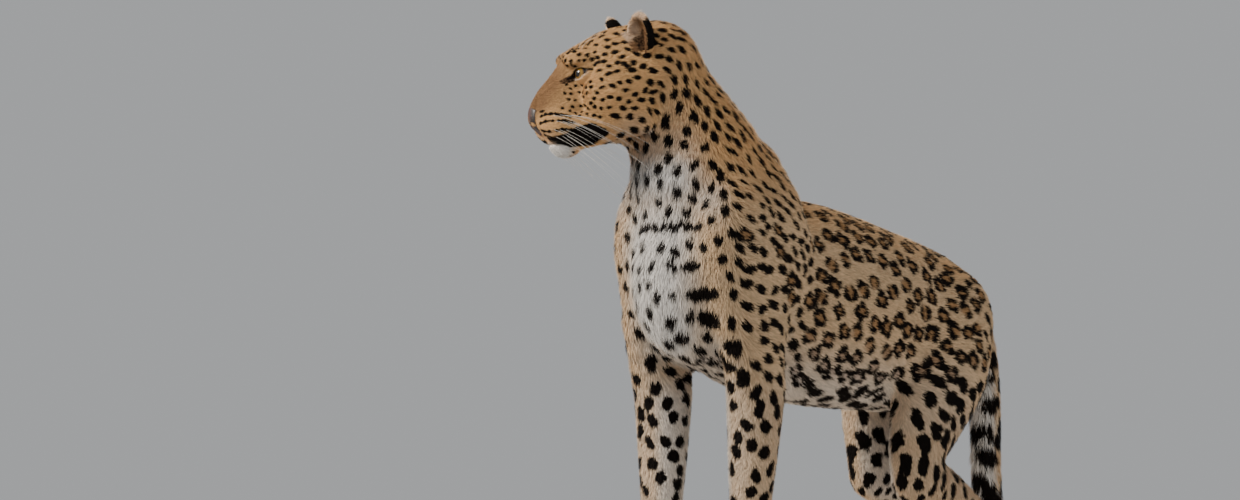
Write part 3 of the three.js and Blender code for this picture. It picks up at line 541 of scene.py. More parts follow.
def near_parts(low, high):
    """The parts of the body that come near a block. Only they matter there."""
    return [p for p in parts
            if (p.low < high + BLOCK_REACH).all() and (p.high > low - BLOCK_REACH).all()]


def by_blocks(points, detail):
    """The distance at many points, worked out block by block with the parts near each."""
    keys = np.floor(points / BLOCK).astype(int)
    order = np.lexsort(keys.T)
    keys = keys[order]
    starts = np.nonzero(np.r_[True, (np.diff(keys, axis=0) != 0).any(1)])[0]
    result = np.empty(len(points), np.float32)
    for start, end in zip(starts, np.r_[starts[1:], len(points)]):
        chosen = order[start:end]
        low = keys[start] * BLOCK
        near = near_parts(low, low + BLOCK) or [trunk]
        result[chosen] = body_distance(points[chosen], near, detail)
    return result


# %% A net where the distance changes sign
COARSE = 4  # cells of the rough first grid are this many times larger
FAR = 50.0  # stands for any distance away from the surface
CORNERS = np.array([(a, b, c) for a in (0, 1) for b in (0, 1) for c in (0, 1)])


def grid_values(low, count, cell, measure):
    """The measure at the corners of a grid. Away from the surface only its sign is right."""
    axes = [np.arange(0, n, COARSE) for n in count]
    sites = np.stack(np.meshgrid(*axes, indexing="ij"), -1).reshape(-1, 3)
    rough = measure(low + sites * cell)
    margin = COARSE * cell * 1.9
    steps = np.stack(np.meshgrid(*[np.arange(-2, 3)] * 3, indexing="ij"), -1).reshape(-1, 3)
    near = sites[np.abs(rough) < margin]
    wanted = np.zeros(count, bool)
    for step in steps:
        wanted[tuple(np.clip(near + step, 0, count - 1).T)] = True
    value = np.full(count, FAR, np.float32)
    value[wanted] = measure(low + np.argwhere(wanted) * cell)
    deep = sites[rough <= -margin]
    for step in steps:
        at = np.clip(deep + step, 0, count - 1)
        at = at[~wanted[tuple(at.T)]]
        value[tuple(at.T)] = -FAR
    return value


def crossed_cells(value):
    """The cells that the surface passes through, and where in each it passes."""
    inside = value < 0
    total = np.zeros(np.array(value.shape) - 1, np.uint8)
    for a, b, c in CORNERS:
        total += inside[a:a + total.shape[0], b:b + total.shape[1], c:c + total.shape[2]]
    cells = np.argwhere((total > 0) & (total < len(CORNERS)))
    here = np.stack([value[tuple((cells + corner).T)] for corner in CORNERS], 1)
    place = np.zeros((len(cells), 3))
    crossings = np.zeros(len(cells))
    for i, a in enumerate(CORNERS):
        for j, b in enumerate(CORNERS):
            if j <= i or np.abs(a - b).sum() != 1:
                continue
            cross = (here[:, i] < 0) != (here[:, j] < 0)
            t = here[cross, i] / (here[cross, i] - here[cross, j])
            place[cross] += a + t[:, None] * (b - a)
            crossings[cross] += 1
    return cells, place / crossings[:, None]


def squares(value, cells):
    """A square round each edge of the grid that the surface crosses, turned to face outward."""
    inside = value < 0
    count = np.array(value.shape)
    index = np.full(count, -1, np.int64)
    index[tuple(cells.T)] = np.arange(len(cells))
    quads = []
    for axis in range(3):
        step, p, q = np.roll(np.eye(3, dtype=int), -axis, axis=0)
        first = inside[:count[0] - step[0], :count[1] - step[1], :count[2] - step[2]]
        second = inside[step[0]:, step[1]:, step[2]:]
        edges = np.argwhere(first != second)
        edges = edges[(edges >= p + q).all(1) & (edges < count - step).all(1)]
        ring = [edges - p - q, edges - q, edges, edges - p]
        quad = np.stack([index[tuple(corner.T)] for corner in ring], 1)
        outward = inside[tuple(edges.T)]
        quad[~outward] = quad[~outward][:, ::-1]
        quads.append(quad[(quad >= 0).all(1)])
    return np.concatenate(quads)


def net(low, high, cell, measure):
    """Corners and squares of a net where the measure changes sign."""
    low = np.asarray(low, float)
    count = np.ceil((np.asarray(high) - low) / cell).astype(int) + 1
    value = grid_values(low, count, cell, measure)
    cells, place = crossed_cells(value)
    return low + (cells + place) * cell, squares(value, cells)


def trimmed(points, quads, keep):
    """The net without the squares outside the part that is kept, and without loose corners."""
    quads = quads[keep(points[quads].mean(1))]
    used = np.unique(quads)
    renumber = np.full(len(points), -1)
    renumber[used] = np.arange(len(used))
    return points[used], renumber[quads]


# %% Skin of the body and of the head
BODY_CELL = 5.6
HEAD_CELL = 2.2
BODY_BOX = ((-170, -475, -8), (170, 745, 960))
HEAD_BOX = ((-255, -600, 690), (90, -280, 990))
BODY_NET_DEPTH = 4.5  # about as deep as the skin, so that the pull has little left to do
HEAD_NET_DEPTH = 2.5
HEAD_OVERLAP = 6.0
LOWEST_SKIN = 0.6


def measure_below(depth, detail):
    """The distance to a surface that lies this deep in the body."""
    return lambda points: by_blocks(points.astype(np.float32), detail) + depth


def pull_to_skin(points, detail, turns):
    """The corners moved to where the skin lies under its coat, with the normals there."""
    measure = measure_below(0, detail)
    normals = gradient(points, measure)
    for _ in range(turns):
        wanted = -coat_depth(points, normals)
        points = points - normals * (measure(points) - wanted)[:, None]
        normals = gradient(points, measure)
    points[:, 2] = np.maximum(points[:, 2], LOWEST_SKIN)
    return points, normals


body_points, body_quads = net(*BODY_BOX, BODY_CELL, measure_below(BODY_NET_DEPTH, False))
body_points, body_quads = trimmed(body_points, body_quads,
                                  lambda p: ahead_of_neck(p) < HEAD_OVERLAP)
body_points, body_normals = pull_to_skin(body_points, False, turns=2)
head_points, head_quads = net(*HEAD_BOX, HEAD_CELL, measure_below(HEAD_NET_DEPTH, True))
head_points, head_quads = trimmed(head_points, head_quads, lambda p: ahead_of_neck(p) > 0)
head_points, head_normals = pull_to_skin(head_points, True, turns=1)
print("body corners", len(body_points), "head corners", len(head_points))

# %% [markdown]
# ## Ears
# An ear is half an egg, hollowed from the front. It is thin, so it has a finer net of its own. Its
# root is sunk in the skull, where the fur hides the join.

# %% Ear shells
EAR_AT = {1: (11, 47, 22), -1: (23, -47, 28)}  # left and right, in the frame of the head
EAR = {"radii": (22, 27, 42), "wall": 5.0, "rim": 5.0, "centre": 24.0}
EAR_OPENS = math.radians(24)
EAR_OUT = math.radians(19)
EAR_AHEAD = {1: math.radians(8), -1: math.radians(16)}
EAR_COAT = 1.5
EAR_CELL = 1.9
EAR_REACH = 58


def ear_axes(side):
    """Place and axes of an ear: towards its opening, across it, along it."""
    turn = (Matrix.Rotation(-side * EAR_OUT, 3, "X") @ Matrix.Rotation(EAR_AHEAD[side], 3, "Y")
            @ Matrix.Rotation(side * EAR_OPENS, 3, "Z"))
    return np.array(EAR_AT[side], float), np.array(turn).T


def to_ear(points, side):
    """Points in the frame of an ear: out of its opening, across, along."""
    at, axes = ear_axes(side)
    return (to_head(points) - at) @ axes.T


def ear_measure(side):
    """The distance to the shell of an ear."""
    depth, width, height = EAR["radii"]
    wall = EAR["wall"]
    outside = (depth - EAR_COAT, width - EAR_COAT, height - EAR_COAT)
    outer = Mass((0, 0, EAR["centre"]), outside, 0)
    hollow = (depth - 0.5, width - wall, height - wall)
    inner = Mass((EAR["rim"] + 2, 0, EAR["centre"]), hollow, 0)

    def measure(points):
        p = to_ear(points, side).astype(np.float32)
        shell = np.maximum(outer.distance(p), -inner.distance(p))
        above = p[:, 2] - EAR["centre"]
        rim = EAR["rim"] - 1 - 0.006 * above ** 2 * (above > 0)
        shell = np.maximum(shell, p[:, 0] - rim)
        return np.maximum(shell, -p[:, 2] - 2)
    return measure


ears = {}
for side in (1, -1):
    at, axes = ear_axes(side)
    middle = from_head(at + EAR["centre"] * axes[2])
    measure = ear_measure(side)
    ear_points, ear_quads = net(middle - EAR_REACH, middle + EAR_REACH, EAR_CELL, measure)
    normals = gradient(ear_points, measure, 1.2)
    ears[side] = (ear_points, ear_quads, normals)
    print("ear corners", len(ear_points))

# %% [markdown]
# ## Markings
# A leopard has solid spots on its head, neck and legs and rosettes on its flanks, and no two marks
# are alike. An image could be wrapped round the body, but it would stretch. So each mark is made of
# blotches, each with a place, a direction and a size, and a rosette is a broken ring of them round
# a warmer centre. The marks fill the skin from the tail to the nose, each as close to its
# neighbours as its region allows. Skin and fur both look the blotches up, so they agree.

# %% How the marks differ from region to region
skin_points = np.concatenate([body_points, head_points])
skin_normals = np.concatenate([body_normals, head_normals])
skin_lie = lie(skin_points, skin_normals)


def mark_plan(points, normals):
    """For each place: spacing of the marks, radius, stretch along the hair, share of rosettes."""
    x, y, z = points.T
    head = headness(points)
    legs = legness(points)
    neck = ramp(z, 560, 690) * (y < -150) * (1 - head)
    breast = ramp(-normals[:, 1], 0.3, 0.8) * ramp(-y, 270, 330) * (1 - head)
    shoulder = ramp(-y, 130, 230) * (1 - neck) * (1 - legs)
    spacing = np.full(len(x), 32.5)
    size = np.full(len(x), 10.2)
    stretch = np.full(len(x), 1.2)
    rosette = np.ones(len(x))

    def put(weight, gap, radius, longer, ring):
        """Blend the four values in by the weight."""
        spacing[:] = spacing * (1 - weight) + gap * weight
        size[:] = size * (1 - weight) + radius * weight
        stretch[:] = stretch * (1 - weight) + longer * weight
        rosette[:] = np.where(weight > 0.5, ring, rosette)

    put(ramp(normals[:, 2], 0.6, 0.95) * (z > 450), 24.5, 8.3, 1.25, 0.6)  # back
    put(ramp(-z, -400, -350) * (1 - legs), 29.0, 13.2, 1.4, 0)  # belly
    put(ramp(y, 150, 230) * ramp(z, 380, 430), 27.5, 9.9, 1.2, 0.8)  # rump
    put(shoulder, 21.5, 8.6, 1.4, 0.1)
    put(shoulder * ramp(z, 560, 640), 16.5, 6.4, 1.5, 0)  # withers
    put(neck, 17.5, 6.2, 1.6, 0)
    put(neck * ramp(-normals[:, 1], 0.2, 0.7), 22.0, 7.9, 1.3, 0)  # throat
    put(breast * ramp(-z, -700, -620), 21.5, 7.2, 1.2, 0)
    put(breast * ramp(-z, -500, -440), 31.0, 11.5, 1.2, 0)  # low on the breast
    put(legs * (y < 0), 23.0, 9.5, 1.3, 0)  # forelegs
    put(legs * (y >= 0), 27.5, 12.8, 1.3, 0)  # hind legs
    put(legs * ramp(-z, -240, -160), 19.0, 7.0, 1.2, 0)  # low on the legs
    put(ramp(-z, -80, -50), 13.0, 3.8, 1.1, 0)  # paws
    put(tailness(points), 33.0, 13.5, 1.15, 0)
    put(head, 12.2, 4.3, 1.35, 0)
    u, _, w = to_head(points).T
    put(head * ramp(u, 62, 92), 8.2, 3.0, 1.15, 0)  # forehead and muzzle
    put(head * ramp(-u, -40, 0), 15.5, 5.6, 1.4, 0)  # back of the head
    put(head * ramp(-w, 70, 95) * ramp(-u, -70, -40), 18.5, 7.2, 1.2, 0)  # under the jaw
    return spacing, size, stretch, rosette


def bare_of_spots(points):
    """The plain parts: bridge of the nose, lips, whisker pads, chin and round the eyes."""
    u, v, w = to_head(points).T
    head = headness(points) > 0.5
    bridge = (w > -70) & (w < 0) & ((u > 133) | ((u > 100) & (np.abs(v) < 21)))
    pads = (u > 118) & (w < -72)
    lips = (u > 56) & (w < -84) & (w > -130)
    eyes = np.maximum(np.abs(u - 104) / 24, np.abs(w + 12) / 12) < 1
    return head & (bridge | pads | lips | eyes)


# %% Where the marks go
CANDIDATES = 26000
NEIGHBOURHOOD = 45.0  # wider than any spacing, so neighbours lie in the same or the next cell


def scatter(points, spacing):
    """Places kept apart by the spacing, filled in from the tail to the nose."""
    order = np.argsort(rng.normal(-points[:, 1] - 0.35 * points[:, 2], 7.0))
    cells = {}
    chosen = []
    keys = np.floor(points / NEIGHBOURHOOD).astype(int)
    for i in order:
        kx, ky, kz = keys[i]
        near = [j for a in (-1, 0, 1) for b in (-1, 0, 1) for c in (-1, 0, 1)
                for j in cells.get((kx + a, ky + b, kz + c), ())]
        if near:
            gap = points[near] - points[i]
            apart = np.sqrt((gap * gap).sum(1))
            if (apart < (spacing[near] + spacing[i]) / 2).any():
                continue
        cells.setdefault((kx, ky, kz), []).append(i)
        chosen.append(i)
    return np.array(chosen)


spacing, mark_size, stretch, rosette = mark_plan(skin_points, skin_normals)
candidates = rng.permutation(len(skin_points))[:CANDIDATES]
picked = candidates[scatter(skin_points[candidates], spacing[candidates])]
picked = picked[~bare_of_spots(skin_points[picked])]
print("marks", len(picked))

# %% The necklace and the large marks on the breast
FROM_LEFT = math.radians(40)  # these marks are laid out as they look from here, left of ahead
SIDEWAYS = np.array([math.cos(FROM_LEFT), math.sin(FROM_LEFT), 0])
INWARD = np.array([-math.sin(FROM_LEFT), math.cos(FROM_LEFT), 0])
# place sideways, height, half length, half width, tilt
NECKLACE = [(-288 + 12.5 * k, 621 + 3 * math.sin(2 * k), 11.0, 6.5 + 1.6 * (k % 2),
             0.25 * (-1) ** k) for k in range(7)]
LARGE_MARKS = [(-208, 516, 28, 11, 0.1), (-197, 480, 20, 14, -0.2), (-158, 434, 17, 14, -0.9),
               (-166, 411, 18, 12, -0.7), (-236, 452, 13, 11, 0.3), (-224, 560, 16, 8, 0.2)]


def breast_place(sideways, height):
    """The corner of the skin that shows at a place, looking from the animal's front left."""
    facing = skin_normals @ INWARD < -0.1
    aside = np.hypot(skin_points @ SIDEWAYS - sideways, skin_points[:, 2] - height)
    return np.where(facing, aside + 0.02 * (skin_points @ INWARD), np.inf).argmin()


breast_marks = [(breast_place(*mark[:2]), *mark[2:]) for mark in NECKLACE + LARGE_MARKS]
for at, _, half_width, _ in breast_marks:
    apart = np.linalg.norm(skin_points[picked] - skin_points[at], axis=1)
    picked = picked[apart > half_width + mark_size[picked] + 3]
print("marks left beside the large ones", len(picked))

# %% Blotches of the spots and rosettes
blotches = []  # place, along, across, half length, half width, bend
warm_centres = []


def add_blotch(at, along, normal, half_length, half_width, bend=0.0):
    """An oval on the skin. The bend curves it, which the arcs of a rosette need."""
    blotches.append((*at, *along, *np.cross(normal, along), half_length, half_width, bend))


def add_rosette(at, along, across, normal, radius, longer):
    """Two to four arcs round a warm centre."""
    warm_centres.append((*at, radius * 0.9))
    count = rng.integers(2, 5)
    start = rng.uniform(0, math.tau)
    for k in range(count):
        angle = start + math.tau * (k + rng.uniform(-0.12, 0.12)) / count
        place = at + radius * (along * math.cos(angle) * longer + across * math.sin(angle))
        round_it = -along * math.sin(angle) * longer + across * math.cos(angle)
        round_it = round_it / np.linalg.norm(round_it)
        arc = radius * math.pi / count * rng.uniform(0.86, 1.08) + 1.0
        add_blotch(place, round_it, normal, min(arc, 1.35 * radius),
                   radius * rng.uniform(0.53, 0.7), 0.42 / radius)


def add_spot(at, along, across, normal, radius, longer):
    """A solid spot. Some of the larger ones get a second blotch at their edge."""
    longer = longer * rng.uniform(0.9, 1.15)
    add_blotch(at, along, normal, radius * longer, radius / math.sqrt(longer))
    if radius > 5 and rng.uniform() < 0.4:
        angle = rng.uniform(0, math.tau)
        place = at + radius * (along * math.cos(angle) + across * math.sin(angle)) * 0.7
        add_blotch(place, along, normal, radius * 0.7, radius * 0.55)


for i in picked:
    normal = skin_normals[i]
    radius = mark_size[i] * rng.uniform(0.88, 1.1)
    turn = rng.normal(0, 0.28)
    along = skin_lie[i] * math.cos(turn) + np.cross(normal, skin_lie[i]) * math.sin(turn)
    across = np.cross(normal, along)
    add_mark = add_rosette if rng.uniform() < rosette[i] else add_spot
    add_mark(skin_points[i], along, across, normal, radius, stretch[i])
for i, half_length, half_width, tilt in breast_marks:
    along = SIDEWAYS * math.cos(tilt) + np.array([0, 0, math.sin(tilt)])
    along = along - along @ skin_normals[i] * skin_normals[i]
    along = along / np.linalg.norm(along)
    add_blotch(skin_points[i], along, skin_normals[i], half_length, half_width)
print("blotches", len(blotches), "rosettes", len(warm_centres))

# %% Marks with a place of their own on the head
PAD_ROWS = (-78.0, -88.5, -98.5, -107.0)
PAD_DOTS = 7
ALONG_PAD = (-1, 0.35, 0)


def nearest_on_head(u, v, w):
    """Which corner of the skin lies nearest to a place in the frame of the head."""
    return np.linalg.norm(head_points - from_head((u, v, w)), axis=1).argmin()


def head_blotch(u, v, w, half_length, half_width, along):
    """A dark mark on both sides of the head, laid on the skin."""
    for side in (1, -1):
        nearest = nearest_on_head(u, v * side, w)
        normal = head_normals[nearest]
        way = np.array(along, float) * (1, side, 1) @ HEAD_AXES
        way -= way @ normal * normal
        way /= np.linalg.norm(way)
        add_blotch(head_points[nearest], way, normal, half_length, half_width)


for row, height in enumerate(PAD_ROWS):
    for k in range(PAD_DOTS):
        ahead = 161 - 6.6 * k - 3.0 * (row % 2)
        head_blotch(ahead, 22 + 3.2 * k, height, 3.4, 2.9, ALONG_PAD)
    for u, v in ((152, 28), (134, 36)):
        head_blotch(u, v, height, 13.0, 1.9, ALONG_PAD)
for k in range(2):  # behind the eye
    head_blotch(84 - 7.0 * k, 46 + 2.0 * k, 3 + 4.0 * k, 4.5, 2.8, (-1, 0.5, 0.4))
for k in range(3):  # over the brow
    head_blotch(112, 17 + 6 * k, 24 - 2 * k, 6.0, 2.0, (-0.6, 0.1, 1))
print("blotches with those of the head", len(blotches))

# %% Rings of the tail
TAIL_RINGS = 7
TAIL_RADIUS = 22
for k in range(TAIL_RINGS):
    ring_at = tail_path[-2 - 3 * k]
    for angle in np.linspace(-1.3, 1.3, 4):
        normal = np.array([math.sin(angle), 0.25, math.cos(angle)])
        place = ring_at + TAIL_RADIUS * normal
        nearest = np.linalg.norm(skin_points - place, axis=1).argmin()
        add_blotch(skin_points[nearest], skin_lie[nearest], skin_normals[nearest], 15, 11)
blotches = np.array(blotches)
warm_centres = np.array(warm_centres)
print("all blotches", len(blotches))

# %% [markdown]
# ## Asking for the markings at a place
# A tree of the blotches finds those nearest to a point. The answer is a depth: above zero inside a
# blotch, below outside, in millimetres, with a little waviness so that no edge is a clean ellipse.
# Lips, lids and the stain of tears follow the face, so they are worked out from its own frame.

# %% Looking the blotches up
NEAREST = 9
UNMARKED = -40.0  # stands for any depth far outside a mark
blotch_tree = kdtree.KDTree(len(blotches))
for i, blotch in enumerate(blotches):
    blotch_tree.insert(blotch[:3], i)
blotch_tree.balance()
warm_tree = kdtree.KDTree(len(warm_centres))
for i, centre in enumerate(warm_centres):
    warm_tree.insert(centre[:3], i)
warm_tree.balance()


def wave(points, scale, seed):
    """A cheap smooth wobble between about -1 and 1."""
    draw = np.random.default_rng(seed)
    total = np.zeros(len(points))
    for _ in range(4):
        way = draw.normal(size=3)
        total += np.sin(points @ (way / np.linalg.norm(way)) / scale + draw.uniform(0, 6.3))
    return total / 2.4


def darkness(points):
    """Depth inside the nearest blotches, and closeness to the centre of a rosette."""
    found = np.array([[item[1] for item in blotch_tree.find_n(p, NEAREST)] for p in points])
    best = np.full(len(points), UNMARKED)
    wobble = 1 + 0.16 * wave(points, 3.2, 3) + 0.1 * wave(points, 1.4, 4)
    for k in range(NEAREST):
        b = blotches[found[:, k]]
        half_length, half_width, bend = b[:, 9:].T
        d = points - b[:, :3]
        along = (d * b[:, 3:6]).sum(1) / half_length
        curved = bend * (along * half_length) ** 2
        across = ((d * b[:, 6:9]).sum(1) - curved) / half_width
        depth = (1 - np.hypot(along, across) * wobble) * half_width
        apart = np.linalg.norm(d, axis=1)
        depth = np.where(apart > 2.2 * half_length + 8, UNMARKED, depth)
        best = np.maximum(best, depth)
    warm = np.zeros(len(points))
    for i, p in enumerate(points):
        _, j, gap = warm_tree.find(p)
        warm[i] = max(0.0, 1 - gap / (warm_centres[j, 3] * 1.6))
    return best, warm


print("trees of", len(blotches), "blotches and", len(warm_centres), "warm centres")

# %% Marks of the face that follow its own forms
LIP_TOP = ((60, -104), (68, -98), (88, -89), (112, -95), (138, -111), (160, -111))
LIP_FOOT = ((60, -106), (68, -112), (84, -121), (118, -126), (138, -119), (160, -112))


def black_lips(points):
    """Depth inside the black patch that runs along the mouth to its corner."""
    u, v, w = to_head(points).T
    top = np.interp(u, *np.array(LIP_TOP).T)
    foot = np.interp(u, *np.array(LIP_FOOT).T)
    depth = np.minimum(np.minimum(top - w, w - foot), u - 62)
    return np.where((np.abs(v) > 10) & (u < 160) & (headness(points) > 0.5), depth, UNMARKED)


LID_MARK_REACH = 15


def dark_round_eyes(points):
    """Depth inside the dark rim of the upper lid and the dark inner corner of the eye."""
    sight, slit, over = eye_coordinates(to_head(points))
    upper = LID_OPENING[1] / 2 * (1 - (slit / LID_MARK_REACH) ** 2)
    rim = 1.6 - np.abs(over - upper - 1.6 - 0.05 * slit)
    rim = np.where((np.abs(slit) < 20) & (sight > -4), rim, UNMARKED)
    corner = (1 - np.hypot((slit + 15) / 5.5, (over + 1.5) / 2.6)) * 2.6
    return np.maximum(rim, np.where(sight > -14, corner, UNMARKED))


def stained(points):
    """The brown stain of tears that lies before the eye and below it."""
    sight, slit, over = eye_coordinates(to_head(points))
    away = np.hypot((slit + 19) / 15, (over + 3.5 - 0.15 * (slit + 19)) / 8)
    return np.where(sight > -22, ramp(-away, -1, -0.45), 0)


def lower_lid(points):
    """The pale line along the lower lid."""
    sight, slit, over = eye_coordinates(to_head(points))
    line = -LID_OPENING[1] / 2 * (1 - (slit / LID_MARK_REACH) ** 2) - 2.6
    away = np.abs(over - line) / 2.4
    return np.where((sight > -8) & (np.abs(slit - 1) < 14), ramp(-away, -1.2, -0.5), 0)


def paint(points, normals):
    """All that skin and fur need to know of their colour at a place."""
    mark, warm = darkness(points)
    mark = np.maximum(mark, black_lips(points))
    mark = np.maximum(mark, dark_round_eyes(points))
    under = underness(points, normals)
    u, v, w = to_head(points).T
    head = headness(points)
    bridge = 0.85 * head * ramp(u, 104, 142) * ramp(w, -86, -60) * (1 - ramp(np.abs(v), 18, 38))
    stain = stained(points)
    bridge = np.maximum(bridge, stain)
    mark = np.maximum(mark, np.where(stain > 0, 1.5 * stain - 1.3, UNMARKED))
    under = np.maximum(under, 0.35 * lower_lid(points))
    return {"mark": mark, "warm": np.clip(warm * 1.7, 0, 0.8), "pale": under, "bridge": bridge}


# %% [markdown]
# ## Colours of the coat
# Skin and fur are coloured by the same recipe, with a softer edge to the marks on the skin. It
# mixes hair colours by the values stored on the mesh: tawny on head and back, sandy on the sides,
# white below, warm brown inside the rosettes, a darker brown on the bridge of the nose, the same
# brown painted inside the ears as shade, and near black in the marks.

# %% Colours of the hair
TAWNY = (0.70, 0.415, 0.18, 1)
SAND = (0.64, 0.455, 0.275, 1)
WHITE_HAIR = (0.76, 0.73, 0.69, 1)
WARM_HAIR = (0.30, 0.145, 0.05, 1)
# darker brown of the nose bridge and the tear stain, and also the painted shade inside the ears
BRIDGE_HAIR_AND_EAR_SHADE = (0.24, 0.125, 0.06, 1)
DARK_HAIR = (0.006, 0.0035, 0.0025, 1)
print("tawny hair", TAWNY[:3], "dark hair", DARK_HAIR[:3])


# %% Helpers for materials
def new_material(name, roughness):
    """A plain material, with what is needed to build on it."""
    material = bpy.data.materials.new(name)
    material.use_nodes = True
    nodes, links = material.node_tree.nodes, material.node_tree.links
    shader = nodes["Principled BSDF"]
    shader.inputs["Roughness"].default_value = roughness
    return material, nodes, links, shader


def stored(nodes, name):
    """A value that is stored on the mesh."""
    node = nodes.new("ShaderNodeAttribute")
    node.attribute_type = "GEOMETRY"
    node.attribute_name = name
    return node.outputs["Fac"]


def mix(nodes, links, factor, a, b):
    """A mix of two colours. The colours and the factor may be sockets or constants."""
    node = nodes.new("ShaderNodeMix")
    node.data_type = "RGBA"
    sockets = {s.identifier: s for s in node.inputs}
    for name, value in (("Factor_Float", factor), ("A_Color", a), ("B_Color", b)):
        target = sockets[name]
        if isinstance(value, bpy.types.NodeSocket):
            links.new(value, target)
        else:
            target.default_value = value
    return [s for s in node.outputs if s.identifier == "Result_Color"][0]


def math_node(nodes, links, operation, *values, clamp=False):
    """One step of arithmetic. The values may be sockets or constants."""
    node = nodes.new("ShaderNodeMath")
    node.operation = operation
    node.use_clamp = clamp
    for target, value in zip(node.inputs, values):
        if isinstance(value, bpy.types.NodeSocket):
            links.new(value, target)
        else:
            target.default_value = value
    return node.outputs[0]


def noise(nodes, links, scale, detail=2.0):
    """Soft noise that stays where it is on the object."""
    node = nodes.new("ShaderNodeTexNoise")
    node.inputs["Scale"].default_value = scale
    node.inputs["Detail"].default_value = detail
    place = nodes.new("ShaderNodeNewGeometry")
    links.new(place.outputs["Position"], node.inputs["Vector"])
    return node.outputs["Fac"]


def add_bump(nodes, links, shader, height, strength, distance):
    """Fine relief that only the light sees, this deep in metres."""
    bump = nodes.new("ShaderNodeBump")
    bump.inputs["Strength"].default_value = strength
    bump.inputs["Distance"].default_value = distance
    links.new(height, bump.inputs["Height"])
    links.new(bump.outputs["Normal"], shader.inputs["Normal"])


# %% Coat material
PATCH_SCALE = 14.0


def coat_material(name, edge, hair_scale):
    """Hair colours by region, marks whose edge is this sharp, and fine streaks of this scale."""
    material, nodes, links, shader = new_material(name, 0.72)
    ground = mix(nodes, links, stored(nodes, "flank"), TAWNY, SAND)
    ground = mix(nodes, links, stored(nodes, "warm"), ground, WARM_HAIR)
    # the bridge value also carries the painted shade inside the ears
    ground = mix(nodes, links, stored(nodes, "bridge"), ground, BRIDGE_HAIR_AND_EAR_SHADE)
    ground = mix(nodes, links, stored(nodes, "pale"), ground, WHITE_HAIR)
    fine = noise(nodes, links, hair_scale, 3.0)
    wobble = math_node(nodes, links, "MULTIPLY_ADD", fine, 3.2, -1.6)
    depth = math_node(nodes, links, "ADD", stored(nodes, "mark"), wobble)
    dark = math_node(nodes, links, "MULTIPLY_ADD", depth, edge, 0.5, clamp=True)
    coloured = mix(nodes, links, dark, ground, DARK_HAIR)
    tone = math_node(nodes, links, "MULTIPLY_ADD", stored(nodes, "tone"), 0.5, 0.78)
    patch = noise(nodes, links, PATCH_SCALE)
    patches = math_node(nodes, links, "MULTIPLY_ADD", patch, 0.25, 0.88)
    lighter = nodes.new("ShaderNodeHueSaturation")
    links.new(coloured, lighter.inputs["Color"])
    links.new(math_node(nodes, links, "MULTIPLY", tone, patches), lighter.inputs["Value"])
    links.new(lighter.outputs["Color"], shader.inputs["Base Color"])
    shader.inputs["Specular IOR Level"].default_value = 0.1
    add_bump(nodes, links, shader, fine, 0.35, 0.0012)
    return material


skin_coat = coat_material("short_fur", 0.6, 420.0)
tuft_coat = coat_material("fur_tufts", 0.9, 300.0)
print("materials", skin_coat.name, tuft_coat.name)


# %% Mesh helpers
def mesh_object(name, points, faces, material):
    """A smooth mesh from points in millimetres. Its faces all have the same number of sides."""
    mesh = bpy.data.meshes.new(name)
    mesh.vertices.add(len(points))
    mesh.vertices.foreach_set("co", ((points + SHIFT) * MM).astype(np.float32).ravel())
    mesh.loops.add(faces.size)
    mesh.loops.foreach_set("vertex_index", faces.astype(np.int32).ravel())
    mesh.polygons.add(len(faces))
    starts = np.arange(0, faces.size, faces.shape[1], dtype=np.int32)
    mesh.polygons.foreach_set("loop_start", starts)
    mesh.update(calc_edges=True)
    mesh.validate()
    mesh.materials.append(material)
    mesh.polygons.foreach_set("use_smooth", np.full(len(mesh.polygons), True))
    piece = bpy.data.objects.new(name, mesh)
    bpy.context.scene.collection.objects.link(piece)
    return piece


def store(piece, name, values):
    """Keep a value at each corner of the mesh, for its material."""
    layer = piece.data.attributes.new(name, "FLOAT", "POINT")
    layer.data.foreach_set("value", np.asarray(values, np.float32))


# %% Ground colour and paint of the ears
def flank(points, normals):
    """0 on the head, nape and spine, where the ground is richest, 1 on the body."""
    rich = np.maximum(headness(points), ramp(points[:, 2], 600, 760))
    rich = np.maximum(rich, 0.7 * ramp(normals[:, 2], 0.3, 0.9))
    return 1 - 0.9 * rich


def ear_paint(points, colours):
    """Ears: black behind, pale at the tip and front edge, brown painted shade inside, darker in the
    bowl.
    """
    for side in (1, -1):
        p = to_ear(points, side)
        depth, width, height = EAR["radii"]
        here = ((p[:, 2] > 3) & (np.abs(p[:, 1]) < width + 3) & (p[:, 2] < 74)
                & (p[:, 0] > -depth - 4) & (p[:, 0] < 13) & (to_head(points)[:, 1] * side > 12))
        egg = (p - (0, 0, EAR["centre"])) / (depth, width, height)
        shell = np.linalg.norm(egg, axis=1) > 0.86
        behind = here & shell & (p[:, 0] < 1) & (p[:, 2] > 8)
        black = np.minimum(54 - p[:, 2], 2 - p[:, 0])
        inside = here & ~(shell & (p[:, 0] < 1))
        front_edge = ramp(-p[:, 1] * side, 5, 19)
        tip = ramp(p[:, 2], 46, 60)
        colours["mark"] = np.where(here, -20, colours["mark"])
        colours["mark"] = np.where(behind, np.minimum(black, 6), colours["mark"])
        # painted shade: the deep bowl inside the ear is darkened towards black
        hollow = inside & (np.hypot(p[:, 1] / 13, (p[:, 2] - 14) / 22) < 1) & (p[:, 0] < 4)
        colours["mark"] = np.where(hollow, 0.2, colours["mark"])
        colours["warm"] = np.where(here, 0, colours["warm"])
        pale = np.maximum(0.4 * tip, 0.35 * front_edge)
        colours["pale"] = np.where(here, pale, colours["pale"])
        # painted shade: brown over the inside of the ear, away from its pale front edge and tip
        inner_shade = (1 - front_edge) * (1 - tip)
        colours["bridge"] = np.where(inside, inner_shade, np.where(here, 0, colours["bridge"]))
    return colours


